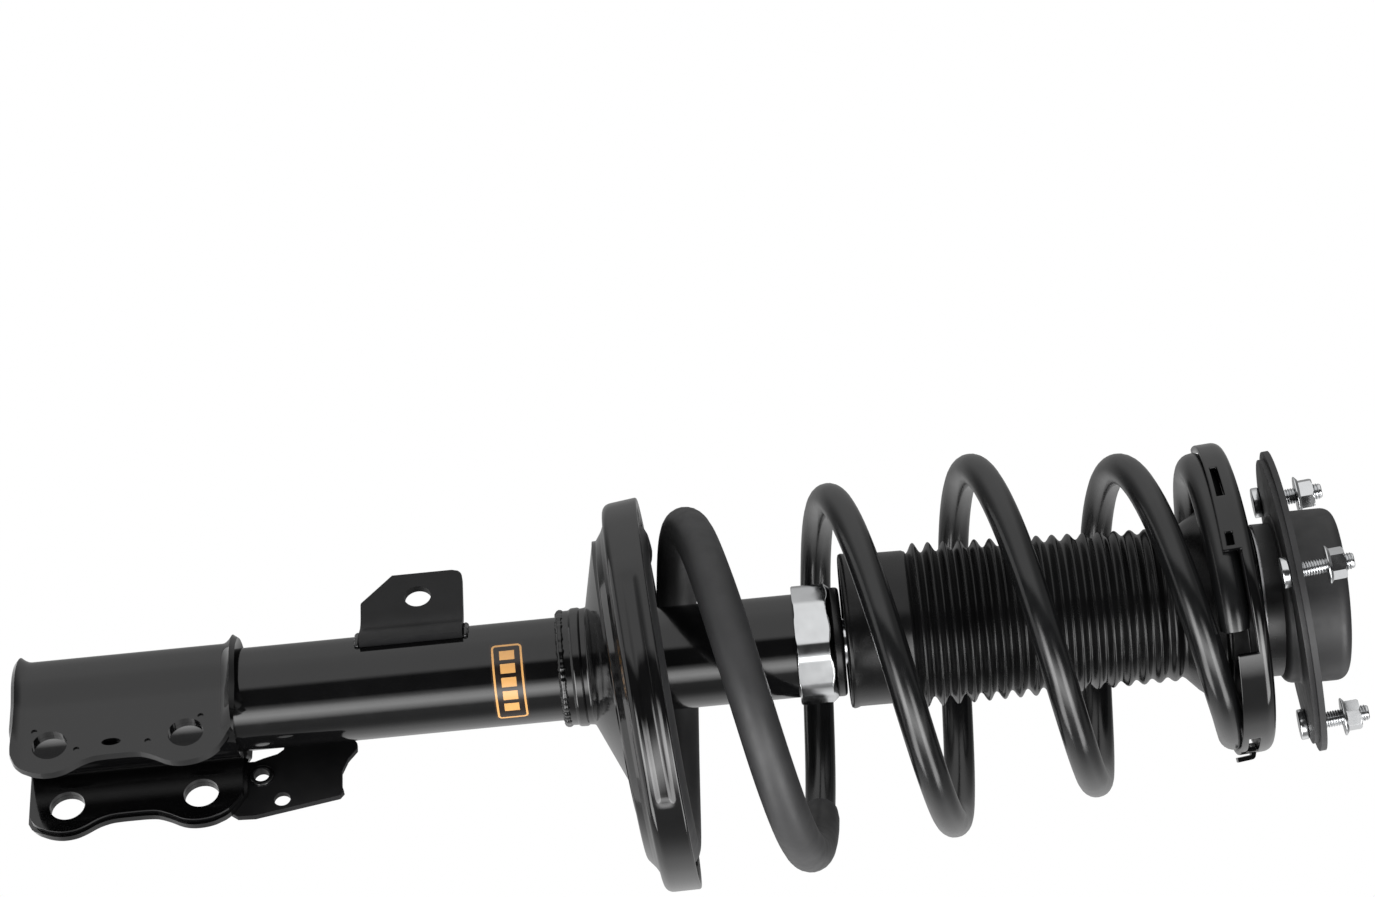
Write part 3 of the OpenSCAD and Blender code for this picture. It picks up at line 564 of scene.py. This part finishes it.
def link_tab():
    """One bent sheet: a flat tab that turns into a foot lying on the tube."""
    tip, corner, flat_y, mid_r, low, high = -53.6, 5.0, -18.0, 27.0, -452.0, -402.0
    chamfer_x, chamfer_rise, foot_end = -37, 16, 260
    meet = math.sqrt(mid_r ** 2 - flat_y ** 2)
    landing = 180 + math.degrees(math.asin(-flat_y / mid_r)) + 17
    path = [Vector((tip + (-meet - 9 - tip) * k / 24, flat_y)) for k in range(25)]
    path += curve(path[-1], Vector((-meet, flat_y)), polar(mid_r, landing).xy, 8)[1:]
    path += [polar(mid_r, landing + (foot_end - landing) * k / 10).xy for k in range(1, 11)]
    rows = []
    for p in path:
        on_flat = p.y == flat_y
        bottom = low + max(0, min(1, (chamfer_x - p.x) / 17)) * chamfer_rise if on_flat else low
        inset = max(0, tip + corner - p.x) if on_flat else 0
        top = high - (corner - math.sqrt(max(0, corner ** 2 - inset ** 2)))
        rows.append([Vector((p.x, p.y, bottom + (top - bottom) * j / 24)) for j in range(25)])
    ob = mesh_from_rows("link_tab", rows)
    thicken(ob, 3.8)
    cut(ob, rod_between((-38.3, -30, -424), (-38.3, -8, -424), 6.5, 64))
    return soften(ob, 0.9, 3, 40)


# The link tab wears the same satin bracket paint, whose lighter base colour is painted fill light.
finish_piece(link_tab(), "cylinder", "black_paint", ["link_bracket"], look=bracket_satin_painted_fill)
HOSE_HOLE = Matrix.Translation((28.2, 25.6, -506.5)) @ Matrix.Rotation(math.radians(90), 4, "X")
hose_rim = lathe("hose_hole_rim", rounded([
    (3.8, 0, 0.5), (6.2, 0, 0.8), (6.2, 1.7, 0.8), (3.8, 1.7, 0.8)], 0.5, 4), 48, HOSE_HOLE)
finish_piece(hose_rim, "cylinder", "black_paint")

WELD_PATH_R = 25.6
hose_plate_edge = ((86, -494), (85, -488), (84.5, -480), (85, -470))  # angle and height along the weld
bead("hose_plate_weld", [polar(WELD_PATH_R, a, z) for a, z in hose_plate_edge], 1.7)
for name, z in (("link_weld_low", -453.2), ("link_weld_high", -400.8)):
    bead(name, [polar(WELD_PATH_R, a, z) for a in range(228, 262, 4)], 1.5, pitch=3.2)

# ---- Label ----


def plain_label():
    """Film round the tube; its layout runs from 0 to 1 along both sides, for the border and blocks."""
    height, rows, columns, film = LABEL_HIGH - LABEL_LOW, 9, 49, 0.08
    ob = mesh_from_rows("plain_label", [
        [polar(LABEL_R, LABEL_FIRST + LABEL_SPAN * j / (columns - 1), LABEL_LOW + height * i / (rows - 1))
         for j in range(columns)] for i in range(rows)])
    layout = ob.data.uv_layers.new(name="layout")
    for loop in ob.data.loops:
        p = ob.data.vertices[loop.vertex_index].co / MM
        turn = (math.degrees(math.atan2(p.y, p.x)) - LABEL_FIRST + 5) % 360 - 5
        layout.data[loop.index].uv = (turn / LABEL_SPAN, (p.z - LABEL_LOW) / height)
    return thicken(ob, film)


finish_piece(plain_label(), "cylinder", "label_film", ["tube_label"])

# ---- Lower seat ----

POCKET_FIRST, POCKET_LAST, POCKET_LOW, POCKET_HIGH, POCKET_DEPTH, POCKET_EDGE = 234, 303, 10.4, 17.6, 1.3, 2.0
HUB_EDGE, FLANGE_R = 60, 57


def seat_dish():
    """Pressed dish with a stepped rim about the seat's own axis; the rim has a shallow pocket."""
    side = divided(rounded([
        (52, 0, 0), (77, 0, 3), (81.5, 3.4, 3), (85, 5.2, 2.5), (93.5, 6.2, 3.5), (94.4, 22, 0)], 4, 6,
        closed=False), 1.0)
    verts, segments = [], 360
    for r, z in side:
        for k in range(segments):
            pressed = 0
            if r > 90:
                along = min(k - POCKET_FIRST, POCKET_LAST - k) / 1.5
                across = min(z - POCKET_LOW, POCKET_HIGH - z) / POCKET_EDGE
                pressed = POCKET_DEPTH * smooth_step(0.5 + along / 2) * smooth_step(0.5 + across / 2)
            verts.append(polar(r - pressed, k, z))
    ob = mesh_object("seat_dish", verts, grid_faces(len(side), segments, close_columns=True), SEAT_SPACE)
    thicken(ob, 2.8)
    return soften(ob, 1.0, 3, 50)


finish_piece(seat_dish(), "cylinder", "black_paint", ["lower_spring_seat"])


def seat_hub():
    """Cone and collar that carry the dish; a flange closes the hole left by the dish's offset."""
    side = rounded([(26.4, -354, 0), (26.5, -350.5, 0.8), (27.4, -349.4, 0.8), (27.5, -346.8, 0.8),
                    (26.8, -345.8, 0.8), (27.2, -342, 3), (HUB_EDGE, -323, 0)], 4, 6, closed=False)
    verts, segments, under_dish = [], 160, -1.5
    rings = len(side) + 2
    for ring in range(rings):
        beyond = max(0, ring - len(side) + 1)
        for k in range(segments):
            a = 360 * k / segments
            r, z = side[min(ring, len(side) - 1)]
            turn = math.radians(a - SEAT_TURN)
            along, across = SEAT_OFFSET * math.cos(turn), SEAT_OFFSET * math.sin(turn)
            reach = along + math.sqrt(FLANGE_R ** 2 - across ** 2)
            r += beyond * max(0.4, (reach - HUB_EDGE) / 2)
            local = SEAT_SPACE.inverted() @ polar(r, a, z)
            local.z = min(local.z, under_dish)
            verts.append(SEAT_SPACE @ local)
    ob = mesh_object("seat_hub", verts, grid_faces(rings, segments, close_columns=True))
    thicken(ob, 2.6)
    return soften(ob, 0.8, 3, 40)


finish_piece(seat_hub(), "cylinder", "black_paint")
bead("collar_weld", [polar(26.2, a, -355.3) for a in range(0, 360, 6)], 2.1, pitch=3.4, closed=True)

pad = lathe("lower_pad", rounded([
    (61.6, 0.3, 0.6), (76, 0.3, 1), (79.6, 3.9, 1.2), (66.2, 3.9, 1), (64.2, 5.9, 1), (61.6, 5.9, 1)],
    0.8, 4), 160, SEAT_SPACE)
finish_piece(pad, "cylinder", "black_rubber", ["lower_insulator"])

# ---- Spring ----

WIRE_R, COIL_R, COIL_TOP_R, PITCH = 7.75, 83.0, 64.5, 70.5
COIL_LOW, COIL_HIGH, PHASE, BLEND, BOW = 14.5, 289.5, 180.0, 0.12, 4.0
TURN_FIRST, TURN_LAST, FREE_FIRST = -1.08, 4.29, -0.39
FREE_LAST = FREE_FIRST + (COIL_HIGH - COIL_LOW) / PITCH
TAPER_FIRST, TAPER_LAST = 1.95, 3.5
SLEEVE_WALL, SLEEVE_LAST, SLEEVE_LIP = 2.3, 0.6, 0.015


def soft(t, w=BLEND):
    """Zero below 0 and t above it, with a round corner w wide."""
    return 0.0 if t <= -w else t if t >= w else (t + w) ** 2 / (4 * w)


def coil_radius(n):
    """Centre radius at turn n: drawn in where the bar lies in the dish, narrower towards the top."""
    taper = (soft(n - TAPER_FIRST) - soft(n - TAPER_LAST)) / (TAPER_LAST - TAPER_FIRST)
    return COIL_R - 8 * (1 - share_of(n, FREE_FIRST, FREE_FIRST + 0.7)) - (COIL_R - COIL_TOP_R) * taper


def coil_height(n):
    return COIL_LOW + PITCH * (soft(n - FREE_FIRST) - soft(n - FREE_LAST))


def coil_point(n):
    """Centre of the bar at turn n; the lower turns bow to one side."""
    a = math.radians(PHASE + 360 * n)
    bow = BOW * math.sin(math.pi * share_of(n, -0.7, 2.0)) ** 2
    return Vector((coil_radius(n) * math.cos(a) + bow, coil_radius(n) * math.sin(a), coil_height(n)))


def coil_tube(name, first, last, r_of, sides=24):
    """A round bar along the coil with domed ends, and for each point a weight from 1 at the lower seat to 0
    at the upper one.
    """
    count = round((last - first) * 72)
    dome = 0.64 / (TAU * 75)
    stations = [(first, 0.80), (first + dome, 0.93)]
    stations += [(first + (last - first) * i / count, 1.0) for i in range(1, count)]
    stations += [(last - dome, 0.93), (last, 0.80)]
    verts, weights = [], []
    for n, share in stations:
        along = (coil_point(n + 0.004) - coil_point(n - 0.004)).normalized()
        outward = polar(1, PHASE + 360 * n)
        outward = (outward - along * outward.dot(along)).normalized()
        across = along.cross(outward)
        for k in range(sides):
            b = TAU * k / sides
            verts.append(coil_point(n) + (outward * math.cos(b) + across * math.sin(b)) * r_of(n) * share)
            weights.append(1 - (coil_height(n) - COIL_LOW) / (COIL_HIGH - COIL_LOW))
    rings = len(stations)
    faces = grid_faces(rings, sides, close_columns=True)
    faces += [tuple(range(sides)), tuple(range((rings - 1) * sides, rings * sides))]
    return mesh_object(name, verts, faces, SEAT_SPACE, merge=False), weights


def ride_coil(ob, weights, slot_name, node):
    """Dresses the bar in its slot's material, hides its CAD node and bakes its placing into the mesh; the
    weights are not used.
    """
    finish_piece(ob, None, slot_name, [node], sharp=50)
    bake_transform(ob)


spring_bar = coil_tube("spring_bar", TURN_FIRST, TURN_LAST, lambda n: WIRE_R - 0.15)
ride_coil(*spring_bar, "spring_coating", "coil_spring")


def sleeve_radius(n):
    lip = 0.35 * max(0, 1 - (SLEEVE_LAST - n) / SLEEVE_LIP)
    return WIRE_R + SLEEVE_WALL - lip + 0.05 * math.sin(n * 40)


sleeve = coil_tube("spring_sleeve_vinyl", TURN_FIRST + 0.01, SLEEVE_LAST + 0.005, sleeve_radius)
ride_coil(*sleeve, "sleeve_vinyl", "spring_sleeve")

# ---- Boot ----

BOOT_LOW, CUFF_H, RIDGES, RIDGE_PITCH = -219.0, 33.0, 17, 7.5
VALLEY_R, RIDGE_FIRST_R, RIDGE_LAST_R, WAVE_POWER = 35.0, 39.9, 37.0, 1.05
CONE_LOW = BOOT_LOW + CUFF_H + RIDGES * RIDGE_PITCH
BOOT_LEAN, LEAN_BY_CONE, LEAN_BY_CUFF = 221, 2.3, 2.5


def boot_profile(inset):
    """Cuff, ridges that get lower towards the top, and the cone that meets the upper seat."""
    cuff = [(35.5, 0), (37.0, 0.4), (37.6, 1.6), (37.4, 3), (36.8, 4.5), (36.7, 16), (36.7, CUFF_H - 2),
            (36.0, CUFF_H - 0.4)]
    pts, steps = [(r, BOOT_LOW + z) for r, z in cuff], 14
    for i in range(RIDGES):
        height = RIDGE_FIRST_R + (RIDGE_LAST_R - RIDGE_FIRST_R) * i / RIDGES - VALLEY_R
        for k in range(steps):
            wave = (0.5 - 0.5 * math.cos(TAU * k / steps)) ** WAVE_POWER
            pts.append((VALLEY_R + height * wave, BOOT_LOW + CUFF_H + (i + k / steps) * RIDGE_PITCH))
    pts += [(VALLEY_R, CONE_LOW), (35.8, CONE_LOW + 1.5), (41, CONE_LOW + 7.5), (48, -41), (48.9, -39.4),
            (48.9, -38.1)]
    return [(r - inset, z) for r, z in pts]


def boot_shift(v):
    """The soft boot hangs off the axis, further towards its free end."""
    below_cone = smooth_step((CONE_LOW - v.z + 16) / 20)
    return v + polar(LEAN_BY_CONE * below_cone + LEAN_BY_CUFF * share_of(v.z, CONE_LOW, BOOT_LOW), BOOT_LEAN)


outer, inner = boot_profile(0), boot_profile(1.5)
boot = lathe("boot_bellows", outer + inner[::-1], 128, move=boot_shift)
finish_piece(boot, "spring_group", "boot_rubber", ["dust_boot"], sharp=70)

# ---- Upper seat ----

STEEL_Z, STEEL_T, SKIRT_R, SKIRT_DROP, SEAT_BORE_R = 301.5, 2.5, 75.4, 14.0, 38.5
WINDOW_MID = 273.0
# Openings in the skirt: first and last angle from the window's middle, then low and high edge from STEEL_Z.
OPENINGS = [(-19.0, 19.0, -math.inf, -3.4), (-58, -42, -11.2, -5.8), (-25.6, -21.4, -11.2, -7.2)]


def upper_seat():
    """Flat ring with a skirt, which has a window and two slots three times over."""
    mid_z, mid_r = STEEL_Z + STEEL_T / 2, SKIRT_R - STEEL_T / 2
    side = divided(rounded([
        (SEAT_BORE_R, mid_z, 0), (66, mid_z, 3), (mid_r, mid_z, 5), (mid_r, STEEL_Z - SKIRT_DROP, 0)], 5, 8,
        closed=False), 1.0)
    segments, skirt_from = 360, 71

    def keep(i, j):
        r, z = (side[i] + side[i + 1]) / 2
        for third in range(3):
            a = (j + 0.5 - WINDOW_MID - 120 * third + 180) % 360 - 180
            for first, last, low, high in OPENINGS:
                if first < a < last and low < z - STEEL_Z < high and r > skirt_from:
                    return False
        return True

    verts = []
    for r, z in side:
        for k in range(segments):
            below = max(0, STEEL_Z - 4 - z)
            short = 0.4 * (0.5 - 0.5 * math.cos(math.radians(k))) ** 2
            verts.append(polar(r, k, z + below * short))
    faces = grid_faces(len(side), segments, close_columns=True, keep=keep)
    ob = mesh_object("upper_seat_pressing", verts, faces, SEAT_SPACE)
    thicken(ob, STEEL_T)
    return soften(ob, 0.7, 2, 45)


finish_piece(upper_seat(), "spring_group", "black_paint", ["upper_spring_seat"])


def skirt_hook():
    """Lip bent out of the skirt and back along it."""
    low = STEEL_Z - SKIRT_DROP
    path = rounded([(74, low + 7.5, 0), (77.2, low + 6.5, 1.2), (77.6, low - 1, 0)], 1.2, 5, closed=False)
    verts = [Vector((p[0], y, p[1])) for p in path for y in (-4, -3, 3, 4)]
    ob = mesh_object("skirt_hook", verts, grid_faces(len(path), 4), SEAT_SPACE)
    thicken(ob, 2.2)
    return soften(ob, 0.5, 3, 40)


finish_piece(skirt_hook(), "spring_group", "black_paint")
hub = lathe("upper_seat_hub", rounded([
    (27.2, -20.2, 0.6), (37.3, -20.2, 1.2), (37.3, -27.5, 0.3), (27.2, -25.5, 0.3)], 0.6, 4), 96)
finish_piece(hub, "spring_group", "black_paint")
upper_pad = from_cad("upper_pad_moulded", "upper_insulator", 0.8)
PAD_R, PAD_KEPT_R, PAD_KEPT_Z, PAD_SHOWN_R = 74.0, 60, 290, SKIRT_R - STEEL_T - 0.3
for vertex in upper_pad.data.vertices:
    local = SEAT_SPACE.inverted() @ (vertex.co / MM)
    reach = local.xy.length
    if reach > PAD_KEPT_R and local.z > PAD_KEPT_Z:
        drawn_in = (PAD_SHOWN_R - PAD_KEPT_R) / (PAD_R - PAD_KEPT_R)
        share = (PAD_KEPT_R + (reach - PAD_KEPT_R) * drawn_in) / reach
        vertex.co = SEAT_SPACE @ Vector((local.x * share, local.y * share, local.z)) * MM
finish_piece(upper_pad, "spring_group", "black_rubber", ["upper_insulator"])

# ---- Top mount ----

DOME_R, DOME_H, DOME_HOLE_R, PLATE_T, LOWER_T = 41.75, 20.5, 17.0, 3.0, 2.5
CUP_R, CUP_LOW, CUP_HOLE_R, FLAT_FROM = 41.0, -9.75, 13.2, 50
UPPER_PLATE_R, LOWER_PLATE_R = 76.0, 72.2


def plate_radius(a, corner_r):
    """Edge of the plates: a round triangle that reaches out to corner_r at the studs."""
    return corner_r - 3.0 * (1 - math.cos(math.radians(3 * (a - 60))))


def plate_height(r, a):
    """Height of the tilted plates' top at that distance and angle."""
    return r * math.tan(math.radians(MOUNT_TILT)) * math.cos(math.radians(a - MOUNT_TURN))


def pressed_plate(name, section, thickness, edge_round, segments=240):
    """Sheet through the middle line that section(angle) gives for each direction."""
    rows = []
    for k in range(segments):
        a = 360 * k / segments
        rows.append([polar(r, a, z) for r, z in section(a)])
    ob = mesh_from_rows(name, rows, close_rows=True)
    thicken(ob, thickness)
    return soften(ob, edge_round, 3, 40)


def plate_steps(a, start, corner_r, mid, shares):
    """Points of the tilted plate from start to its edge."""
    reach = plate_radius(a, corner_r) - start
    return [(start + reach * t, plate_height(start + reach * t, a) - mid) for t in shares]


def dome_section(a):
    """Upper plate: down over the dome, round its foot and out to the edge."""
    mid, foot_reach, wall_low = PLATE_T / 2, DOME_R + 8, 9
    crown = rounded([(DOME_HOLE_R + 0.2, DOME_H - 3.2, 0), (DOME_HOLE_R + 0.6, DOME_H - mid, 1.2),
                     (DOME_R - mid, DOME_H - mid, 7.5), (DOME_R - mid, wall_low, 0)], 3, 9, closed=False)
    foot_z = plate_height(DOME_R, a) - mid
    foot = rounded([(DOME_R - mid, max(wall_low, foot_z + 5), 0), (DOME_R - mid, foot_z, 4.2),
                    (foot_reach, plate_height(foot_reach, a) - mid, 0)], 4.2, 6, closed=False)
    plate = plate_steps(a, foot_reach, UPPER_PLATE_R, mid, (0.25, 0.5, 0.75, 0.9, 0.97, 1.0))
    return crown[:-1] + foot + plate


def cup_section(a):
    """Lower plate: across the cup's floor, up its wall and out to the edge."""
    mid = PLATE_T + LOWER_T / 2
    wall, lip = CUP_R - LOWER_T / 2, plate_height(CUP_R, a) - mid
    room = (lip - CUP_LOW) * 0.48
    cup = rounded([(CUP_HOLE_R, CUP_LOW, 0), (wall, CUP_LOW, min(5.5, room)), (wall, lip, min(3.5, room)),
                   (FLAT_FROM, plate_height(FLAT_FROM, a) - mid, 0)], 3, 6, closed=False)
    return cup + plate_steps(a, FLAT_FROM, LOWER_PLATE_R, mid, (0.3, 0.6, 0.85, 0.95, 1.0))


upper_plate = pressed_plate("mount_top_pressing", dome_section, PLATE_T - 0.1, 0.9)
finish_piece(upper_plate, "top_mount", "mount_paint", ["mount_upper_plate"])
lower_plate = pressed_plate("mount_under_pressing", cup_section, LOWER_T - 0.1, 0.8)
finish_piece(lower_plate, "top_mount", "mount_paint", ["mount_lower_plate"])


def threaded(name, profile_low, low, high, radius, depth, pitch, space, slot_name, cad_nodes=(), segments=40):
    """A shaft of the mount turned from profile_low, with a screw thread from low to high."""
    def rings(profile):
        return [polar(r, 360 * k / segments, z) for r, z in profile for k in range(segments)]

    heights = list(np.arange(low, high, pitch / 8)) + [high]
    verts = rings(profile_low)
    for z in heights:
        fade = smooth_step((z - low) / pitch) * smooth_step((high - z) / pitch)
        for k in range(segments):
            groove = 1 - abs(2 * ((z / pitch - k / segments) % 1) - 1)
            r = radius - depth * (1 - fade) - depth * fade * smooth_step(groove * 1.15)
            verts.append(polar(r, 360 * k / segments, z))
    verts += rings([(radius - depth - 0.5, high + 0.5), (0.01, high + 0.5)])
    faces = grid_faces(len(verts) // segments, segments, close_columns=True)
    finish_piece(mesh_object(name, verts, faces, space), "top_mount", slot_name, cad_nodes, sharp=45)


def hex_nut(name, space, profile, flats, flange_top, cad_nodes=(), turn=0):
    """A turned blank of the mount, cut by six flats above its flange."""
    fine = divided(rounded(profile, 0.3, 3), 0.4, closed=True)
    segments, verts = 144, []
    for r, z in fine:
        for k in range(segments):
            a = 360 * k / segments
            verts.append(polar(min(r, flat_limit(a, flats, 6)) if z > flange_top else r, a + turn, z))
    ob = mesh_object(name, verts, grid_faces(len(fine), segments, True, True), space)
    finish_piece(ob, "top_mount", "bright_zinc", cad_nodes, sharp=25)


STUD_CIRCLE_R, STUD_THREAD, STUD_NUT_Z = 65, (0.3, 24.4, 4.0, 0.5, 1.25), 12
stud_head = rounded([
    (0.01, -9.4, 0), (7.5, -9.4, 0.8), (7.5, -5.6, 0.8), (4.3, -5.6, 0)], 0.6, 4, closed=False)
stud_low = stud_head + [(4.3, 0.0), (3.5, 0.2)]
STUD_NUT = [(4.05, 0.0, 0.3), (9.2, 0.0, 0.5), (9.2, 0.7, 0.5), (7.6, 2.0, 0.5), (7.5, 2.2, 0),
            (7.5, 7.9, 0.2), (6.7, 8.7, 0.2), (5.2, 8.8, 0.2), (4.05, 8.0, 0.2)]
for i, (place, nut_turn) in enumerate(((60, 22), (180, 50), (300, 8))):
    space = (MOUNT_SPACE @ Matrix.Rotation(math.radians(place), 4, "Z")
             @ Matrix.Translation((STUD_CIRCLE_R, 0, 0)))
    threaded(f"stud_{i + 1}", stud_low, *STUD_THREAD, space, "bright_zinc", ["mount_studs"] if i == 0 else [])
    hex_nut(f"stud_nut_{i + 1}", space @ Matrix.Translation((0, 0, STUD_NUT_Z)), STUD_NUT, 6.5, 2.0,
            ["stud_nuts"] if i == 0 else [], turn=nut_turn)

ROD_THREAD, ROD_NUT_Z = (8.2, 19.4, 7.0, 0.65, 1.5), 10
rod_low = rounded([
    (0.01, -366, 0), (5.6, -366, 0.8), (6, -334, 0), (11, -334, 0.5), (11, -8, 0.8), (7, -7, 0.3),
    (6.8, 7.8, 0)], 0.5, 3, closed=False)
threaded("damper_rod", rod_low, *ROD_THREAD, WORLD, "rod_chrome", ["piston_rod"], segments=64)
hex_nut("rod_top_nut", Matrix.Translation((0, 0, ROD_NUT_Z)), [
    (7.02, 0.0, 0.3), (11.0, 0.0, 0.3), (12.0, 0.9, 0.2), (12.0, 8.0, 0.2), (11.0, 8.9, 0.2), (8, 9.0, 0.2),
    (7.02, 8.2, 0.2)], 10.5, -1, ["rod_nut"])

# ---- Studio ----

CAMERA_AZIMUTH, CAMERA_ELEVATION, CAMERA_ROLL = 41.17, 1.24, 5.56
CAMERA_DISTANCE, CAMERA_TARGET, LENS, SENSOR = 2.0, Vector((0, 0, -0.297)), 108.05, 36.0
AIM_RISE, AIM_SIDE = 2.888, -0.04
# Light levels: the ramp's full white, its level along the strut's own axis, and the two panels near the ends.
RAMP_TOP, END_LEVEL, PANEL_LEVEL = 6.0, 1.5, 5.5


def turned(first, second, angle):
    """The two directions turned in their plane, first towards second."""
    c, s = math.cos(angle), math.sin(angle)
    return first * c + second * s, second * c - first * s


def studio_camera():
    """The photo's view, the strut across the picture; returns the picture's up and the way to the camera."""
    a, e = math.radians(CAMERA_AZIMUTH), math.radians(CAMERA_ELEVATION)
    back = Vector((math.sin(a) * math.cos(e), -math.cos(a) * math.cos(e), math.sin(e)))
    place = CAMERA_TARGET + back * CAMERA_DISTANCE
    along = (Vector((0, 0, 1)) - back * back.z).normalized()
    across = back.cross(along)
    roll = math.radians(CAMERA_ROLL)
    right = along * math.cos(roll) - across * math.sin(roll)
    up = along * math.sin(roll) + across * math.cos(roll)
    rise, side = math.radians(AIM_RISE), math.radians(AIM_SIDE)
    up, back = turned(up, back, rise)
    back, right = turned(back, right, side)
    data = bpy.data.cameras.new("camera")
    data.lens, data.sensor_width = LENS, SENSOR
    data.clip_start, data.clip_end = 0.05, 50
    ob = bpy.data.objects.new("camera", data)
    ob.matrix_world = Matrix.Translation(place) @ Matrix((right, up, back)).transposed().to_4x4()
    scene.collection.objects.link(ob)
    scene.camera = ob
    return up, (place - CAMERA_TARGET).normalized()


def studio_light(up, front):
    """White to the eye; round the strut a softbox above, a dark side with one strip, and a pale table."""
    world = bpy.data.worlds.new("studio")
    scene.world = world
    world.use_nodes = True
    tree = world.node_tree
    tree.nodes.clear()
    link = tree.links.new
    calc = calculator(tree)
    out = tree.nodes.new("ShaderNodeOutputWorld")
    seen = tree.nodes.new("ShaderNodeBackground")
    lit = tree.nodes.new("ShaderNodeBackground")
    mix = tree.nodes.new("ShaderNodeMixShader")
    path = tree.nodes.new("ShaderNodeLightPath")
    link(path.outputs["Is Camera Ray"], mix.inputs[0])
    link(lit.outputs[0], mix.inputs[1])
    link(seen.outputs[0], mix.inputs[2])
    link(mix.outputs[0], out.inputs[0])
    seen.inputs[0].default_value = (1, 1, 1, 1)
    where = tree.nodes.new("ShaderNodeTexCoord")

    def along(v):
        n = tree.nodes.new("ShaderNodeVectorMath")
        n.operation = "DOT_PRODUCT"
        link(where.outputs["Generated"], n.inputs[0])
        n.inputs[1].default_value = v
        return n.outputs["Value"]

    share = tree.nodes.new("ShaderNodeMapRange")
    share.inputs["From Min"].default_value = -math.pi
    share.inputs["From Max"].default_value = math.pi
    link(calc("ARCTAN2", along(front), along(up)), share.inputs[0])
    ramp = tree.nodes.new("ShaderNodeValToRGB")
    # Share of the turn round the strut, from below and back to below, and the light's level there.
    stops = [(0.0, 0.35), (0.014, 0.5), (0.056, 1.1), (0.106, 1.2), (0.167, 0.9), (0.25, 0.35),
             (0.322, 0.35), (0.394, 0.6), (0.444, 0.88), (0.5, 1.15), (0.672, 1.2), (0.695, 0.05),
             (0.79, 0.04), (0.8125, 1.2), (0.838, 4.2), (0.864, 5.2), (0.892, 3.0), (0.919, 0.4),
             (0.972, 0.3), (1.0, 0.35)]
    elements = ramp.color_ramp.elements
    while len(elements) < len(stops):
        elements.new(0.5)
    for e, (position, level) in zip(elements, stops):
        e.position = position
        e.color = (level / RAMP_TOP, level / RAMP_TOP, level / RAMP_TOP, 1)
    link(share.outputs[0], ramp.inputs[0])

    def between(value, low, high, at_low, at_high):
        n = tree.nodes.new("ShaderNodeMapRange")
        n.interpolation_type = "SMOOTHSTEP"
        link(value, n.inputs[0])
        for socket, v in zip(("From Min", "From Max", "To Min", "To Max"), (low, high, at_low, at_high)):
            n.inputs[socket].default_value = v
        return n.outputs[0]

    side = calc("ABSOLUTE", along((0, 0, 1)))
    round_strut = calc("MULTIPLY", ramp.outputs[0], between(side, 0.35, 0.85, RAMP_TOP, END_LEVEL))
    belt = calc("MULTIPLY", between(side, 0.3, 0.38, 0, 1), between(side, 0.6, 0.72, 1, 0))
    panels = calc("MULTIPLY", belt, between(share.outputs[0], 0.76, 0.8, 0, PANEL_LEVEL))
    link(calc("ADD", round_strut, panels), lit.inputs[1])


camera_up, camera_front = studio_camera()
studio_light(camera_up, camera_front)


def floor():
    """A round table below the strut."""
    top, reach = -750, 400
    ob = lathe("floor", [(0.01, top), (reach, top), (reach + 4, top - 2), (0.01, top - 2)], 128)
    surface = material("pale_floor", (0.8, 0.8, 0.8), 0.7, tone=0.02, bump_scale=40)
    bsdf = surface.node_tree.nodes["Principled BSDF"]
    bsdf.inputs["Emission Color"].default_value = (1, 1, 1, 1)
    bsdf.inputs["Emission Strength"].default_value = 0.3
    ob.data.materials.append(surface)


floor()
scene.view_settings.view_transform = "Standard"
